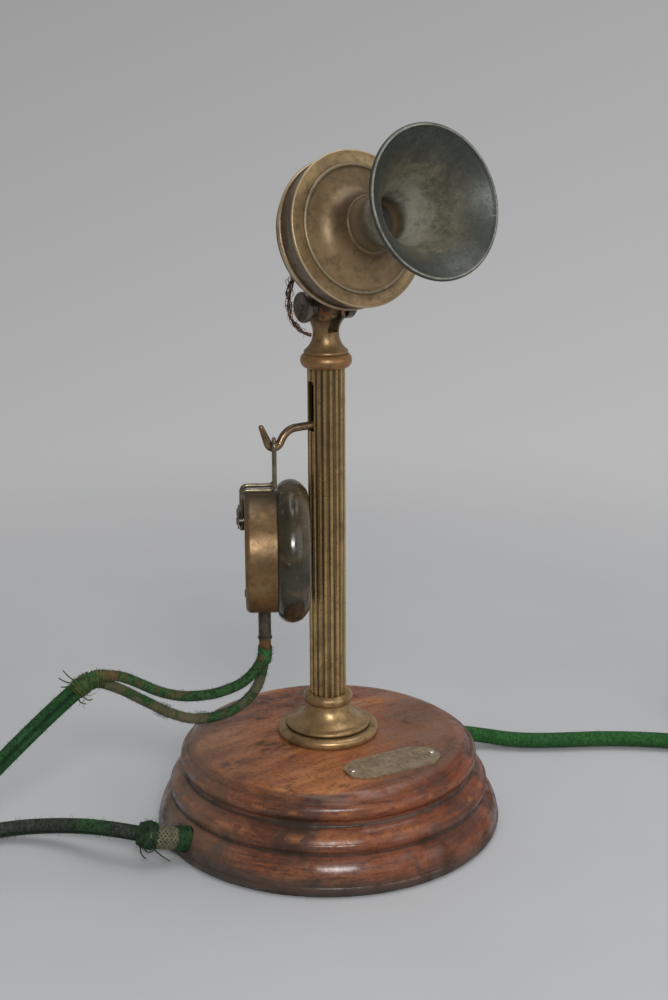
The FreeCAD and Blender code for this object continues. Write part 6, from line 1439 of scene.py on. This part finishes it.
for here, gone, heading, side, other in line_cord_along:
    if seam_span[0] < gone < seam_span[1]:
        seam_points.append(here + (side * 0.45 - other * 0.89) * (line_cord_diameter / 2))
seam_start = bpy.data.meshes.new("seam_start")
seam_start.from_pydata(seam_points, [(k, k + 1) for k in range(len(seam_points) - 1)], [])
stitch_shape = bmesh.new()
bmesh.ops.create_icosphere(stitch_shape, subdivisions=1, radius=1.0)
bmesh.ops.scale(stitch_shape, vec=stitch_size, verts=stitch_shape.verts[:])
for face in stitch_shape.faces:
    face.smooth = True
one_stitch = bpy.data.objects.new("one_stitch", mesh_from(stitch_shape, "one_stitch"))
seam_thread = thread_finish("seam_thread", (0.024, 0.112, 0.024), (0.008, 0.044, 0.010))
seam_mesh = grown("line_cord_seam", stitch_tree(), seam_start, {
    "Step": seam_step, "Stitch": one_stitch, "Cloth": seam_thread,
})
seam = piece("line_cord_seam", seam_mesh, seam_thread, "base")

# Coil tie: a strip of plain-woven cotton tape, taken once round all the turns of the
# coil and pressed flat, a little soiled all over.
tape_width = 0.007
tape_wall = 0.0005
tape_middle = (0.03755, 0.0086)
tape_half = (0.0181, 0.0083)
tape_dip = 0.0004
tape_curl = 0.00015
tape_steps = 96
tape_across = (-1.0, -0.93, -0.5, 0.0, 0.5, 0.93, 1.0)
tape_place = Matrix.Translation((0.25, -0.05, 0.0)) @ Matrix.Rotation(math.radians(300.0), 4, "Z")
cotton_tape, tree, shader = finish("cotton_tape")
coordinates = add(tree, "ShaderNodeTexCoord").outputs
weave, cross = [
    add(
        tree, "ShaderNodeTexWave", {"Vector": coordinates["UV"], "Scale": 60.0}, bands_direction=way,
    ).outputs[1] for way in ("X", "Y")
]
threads = times(tree, weave, cross)
soil = stepped(tree, noise(tree, coordinates["Object"], 180.0, 5.0), 0.5, 0.75, 0.0, 0.5)
colour = mixed(tree, threads, (0.22, 0.185, 0.12), (0.43, 0.38, 0.27))
fill(tree, shader, {"Base Color": mixed(tree, soil, colour, (0.14, 0.11, 0.07)), "Roughness": 0.9})
bumped(tree, shader, threads, 0.5, 0.0003)
tape_shape = bmesh.new()
tape_uv = tape_shape.loops.layers.uv.new("cloth")
tape_rows = []
for step in range(tape_steps):
    angle = 2 * math.pi * step / tape_steps
    x = math.copysign(abs(math.cos(angle)) ** 0.28, math.cos(angle)) * tape_half[0] + tape_middle[0]
    z = math.copysign(abs(math.sin(angle)) ** 0.36, math.sin(angle)) * tape_half[1] + tape_middle[1]
    dip = tape_dip * math.cos(2 * math.pi * x / coil_pitch) if math.sin(angle) > 0.2 else 0.0
    row = []
    for place_across in tape_across:
        curl = tape_curl * place_across ** 4
        spot = Vector((x, tape_width / 2 * place_across, max(z - dip - curl, 0.0002)))
        row.append(tape_shape.verts.new(tape_place @ spot))
    tape_rows.append(row)
strips = len(tape_across) - 1
for step in range(tape_steps):
    here = tape_rows[step]
    there = tape_rows[(step + 1) % tape_steps]
    for k in range(strips):
        face = tape_shape.faces.new((here[k], here[k + 1], there[k + 1], there[k]))
        face.smooth = True
        corners = ((k, step), (k + 1, step), (k + 1, step + 1), (k, step + 1))
        for loop, (strip, lap) in zip(face.loops, corners):
            loop[tape_uv].uv = (strip / strips * 0.12, lap / tape_steps * 1.6)
bmesh.ops.recalc_face_normals(tape_shape, faces=tape_shape.faces[:])
coil_tape = piece("coil_tape", mesh_from(tape_shape, "coil_tape"), cotton_tape)
wall = coil_tape.modifiers.new("wall", "SOLIDIFY")
wall.thickness = tape_wall
wall.offset = -1.0
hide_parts("line_cord_tie")
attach(coil_tape, "base")

# Transmitter leads: stranded copper in cracked black cotton from the cup to the yoke, with
# broken strands standing out.
lead_length = 0.0446
lead_core = 0.0004
lead_route = [
    (-0.012, -0.00833, 0.25087), (-0.0136, -0.0044, 0.249), (-0.0164, -0.0012, 0.2445),
    (-0.0176, 0.0008, 0.238), (-0.017, 0.0022, 0.2308), (-0.0142, 0.0034, 0.2236),
    (-0.0096, 0.0034, 0.2194), (-0.006, 0.0022, 0.2182),
]
lead_line = laid_line("lead_line", lead_route)
lead_along = stations(lead_line, (1.0, 0.0, 0.0))


def strand_line(strand, spread):
    """The line of one strand, which wanders round the lead and away from it between its ends."""
    spots = []
    for here, gone, heading, side, other in lead_along:
        held = math.sin(math.pi * min(max(gone / lead_length, 0.0), 1.0)) ** 0.7
        wave = 0.5 + 0.5 * math.sin(190 * gone * (1 + 0.13 * strand) + 2.1 * strand)
        turn = strand + 130 * gone + 1.4 * math.sin(240 * gone + 1.7 * strand)
        reach = lead_core + spread * held * wave
        spots.append(here + (side * math.cos(turn) + other * math.sin(turn)) * reach)
    return spots


copper_tones = ((0.60, 0.31, 0.175), (0.26, 0.12, 0.065), (0.05, 0.032, 0.024))
copper = aged_metal(
    "bare_copper", copper_tones, size=500.0, browning=0.5, blackening=0.46, smooth=0.3, dull=0.5,
)[0]
black_cotton = thread_finish("cracked_black_cotton", (0.070, 0.046, 0.030), (0.014, 0.011, 0.009))
for lead_name, lead_finish, strands, thick, spread, lead_seed in (
    ("lead_cotton", black_cotton, (0.0, 1.3, 2.4, 3.9, 5.1), 0.00027, 0.0011, 61),
    ("lead_copper", copper, (0.7, 1.9, 3.1, 4.6, 5.6), 0.00014, 0.0023, 67),
):
    strand_shape = bmesh.new()
    for strand in strands:
        strand_rows = stations(strand_line(strand, spread), (1.0, 0.0, 0.0))
        strand_shape.from_mesh(tube(
            "one_strand", strand_rows, 7, lambda angle, gone: thick * (1.0 + 0.25 * math.sin(1300 * gone)),
        ))
    strand_mesh = mesh_from(strand_shape, lead_name)
    lead = piece(lead_name, strand_mesh, lead_finish)
    whiskers = frayed(
        lead_name + "_fibres", strand_mesh, lead_finish, density=0.55e6, shortest=0.0006,
        longest=0.0022, seed=lead_seed, lean=1.2,
    )
    for held in (lead, whiskers):
        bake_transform(held)
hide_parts("lead_wires")
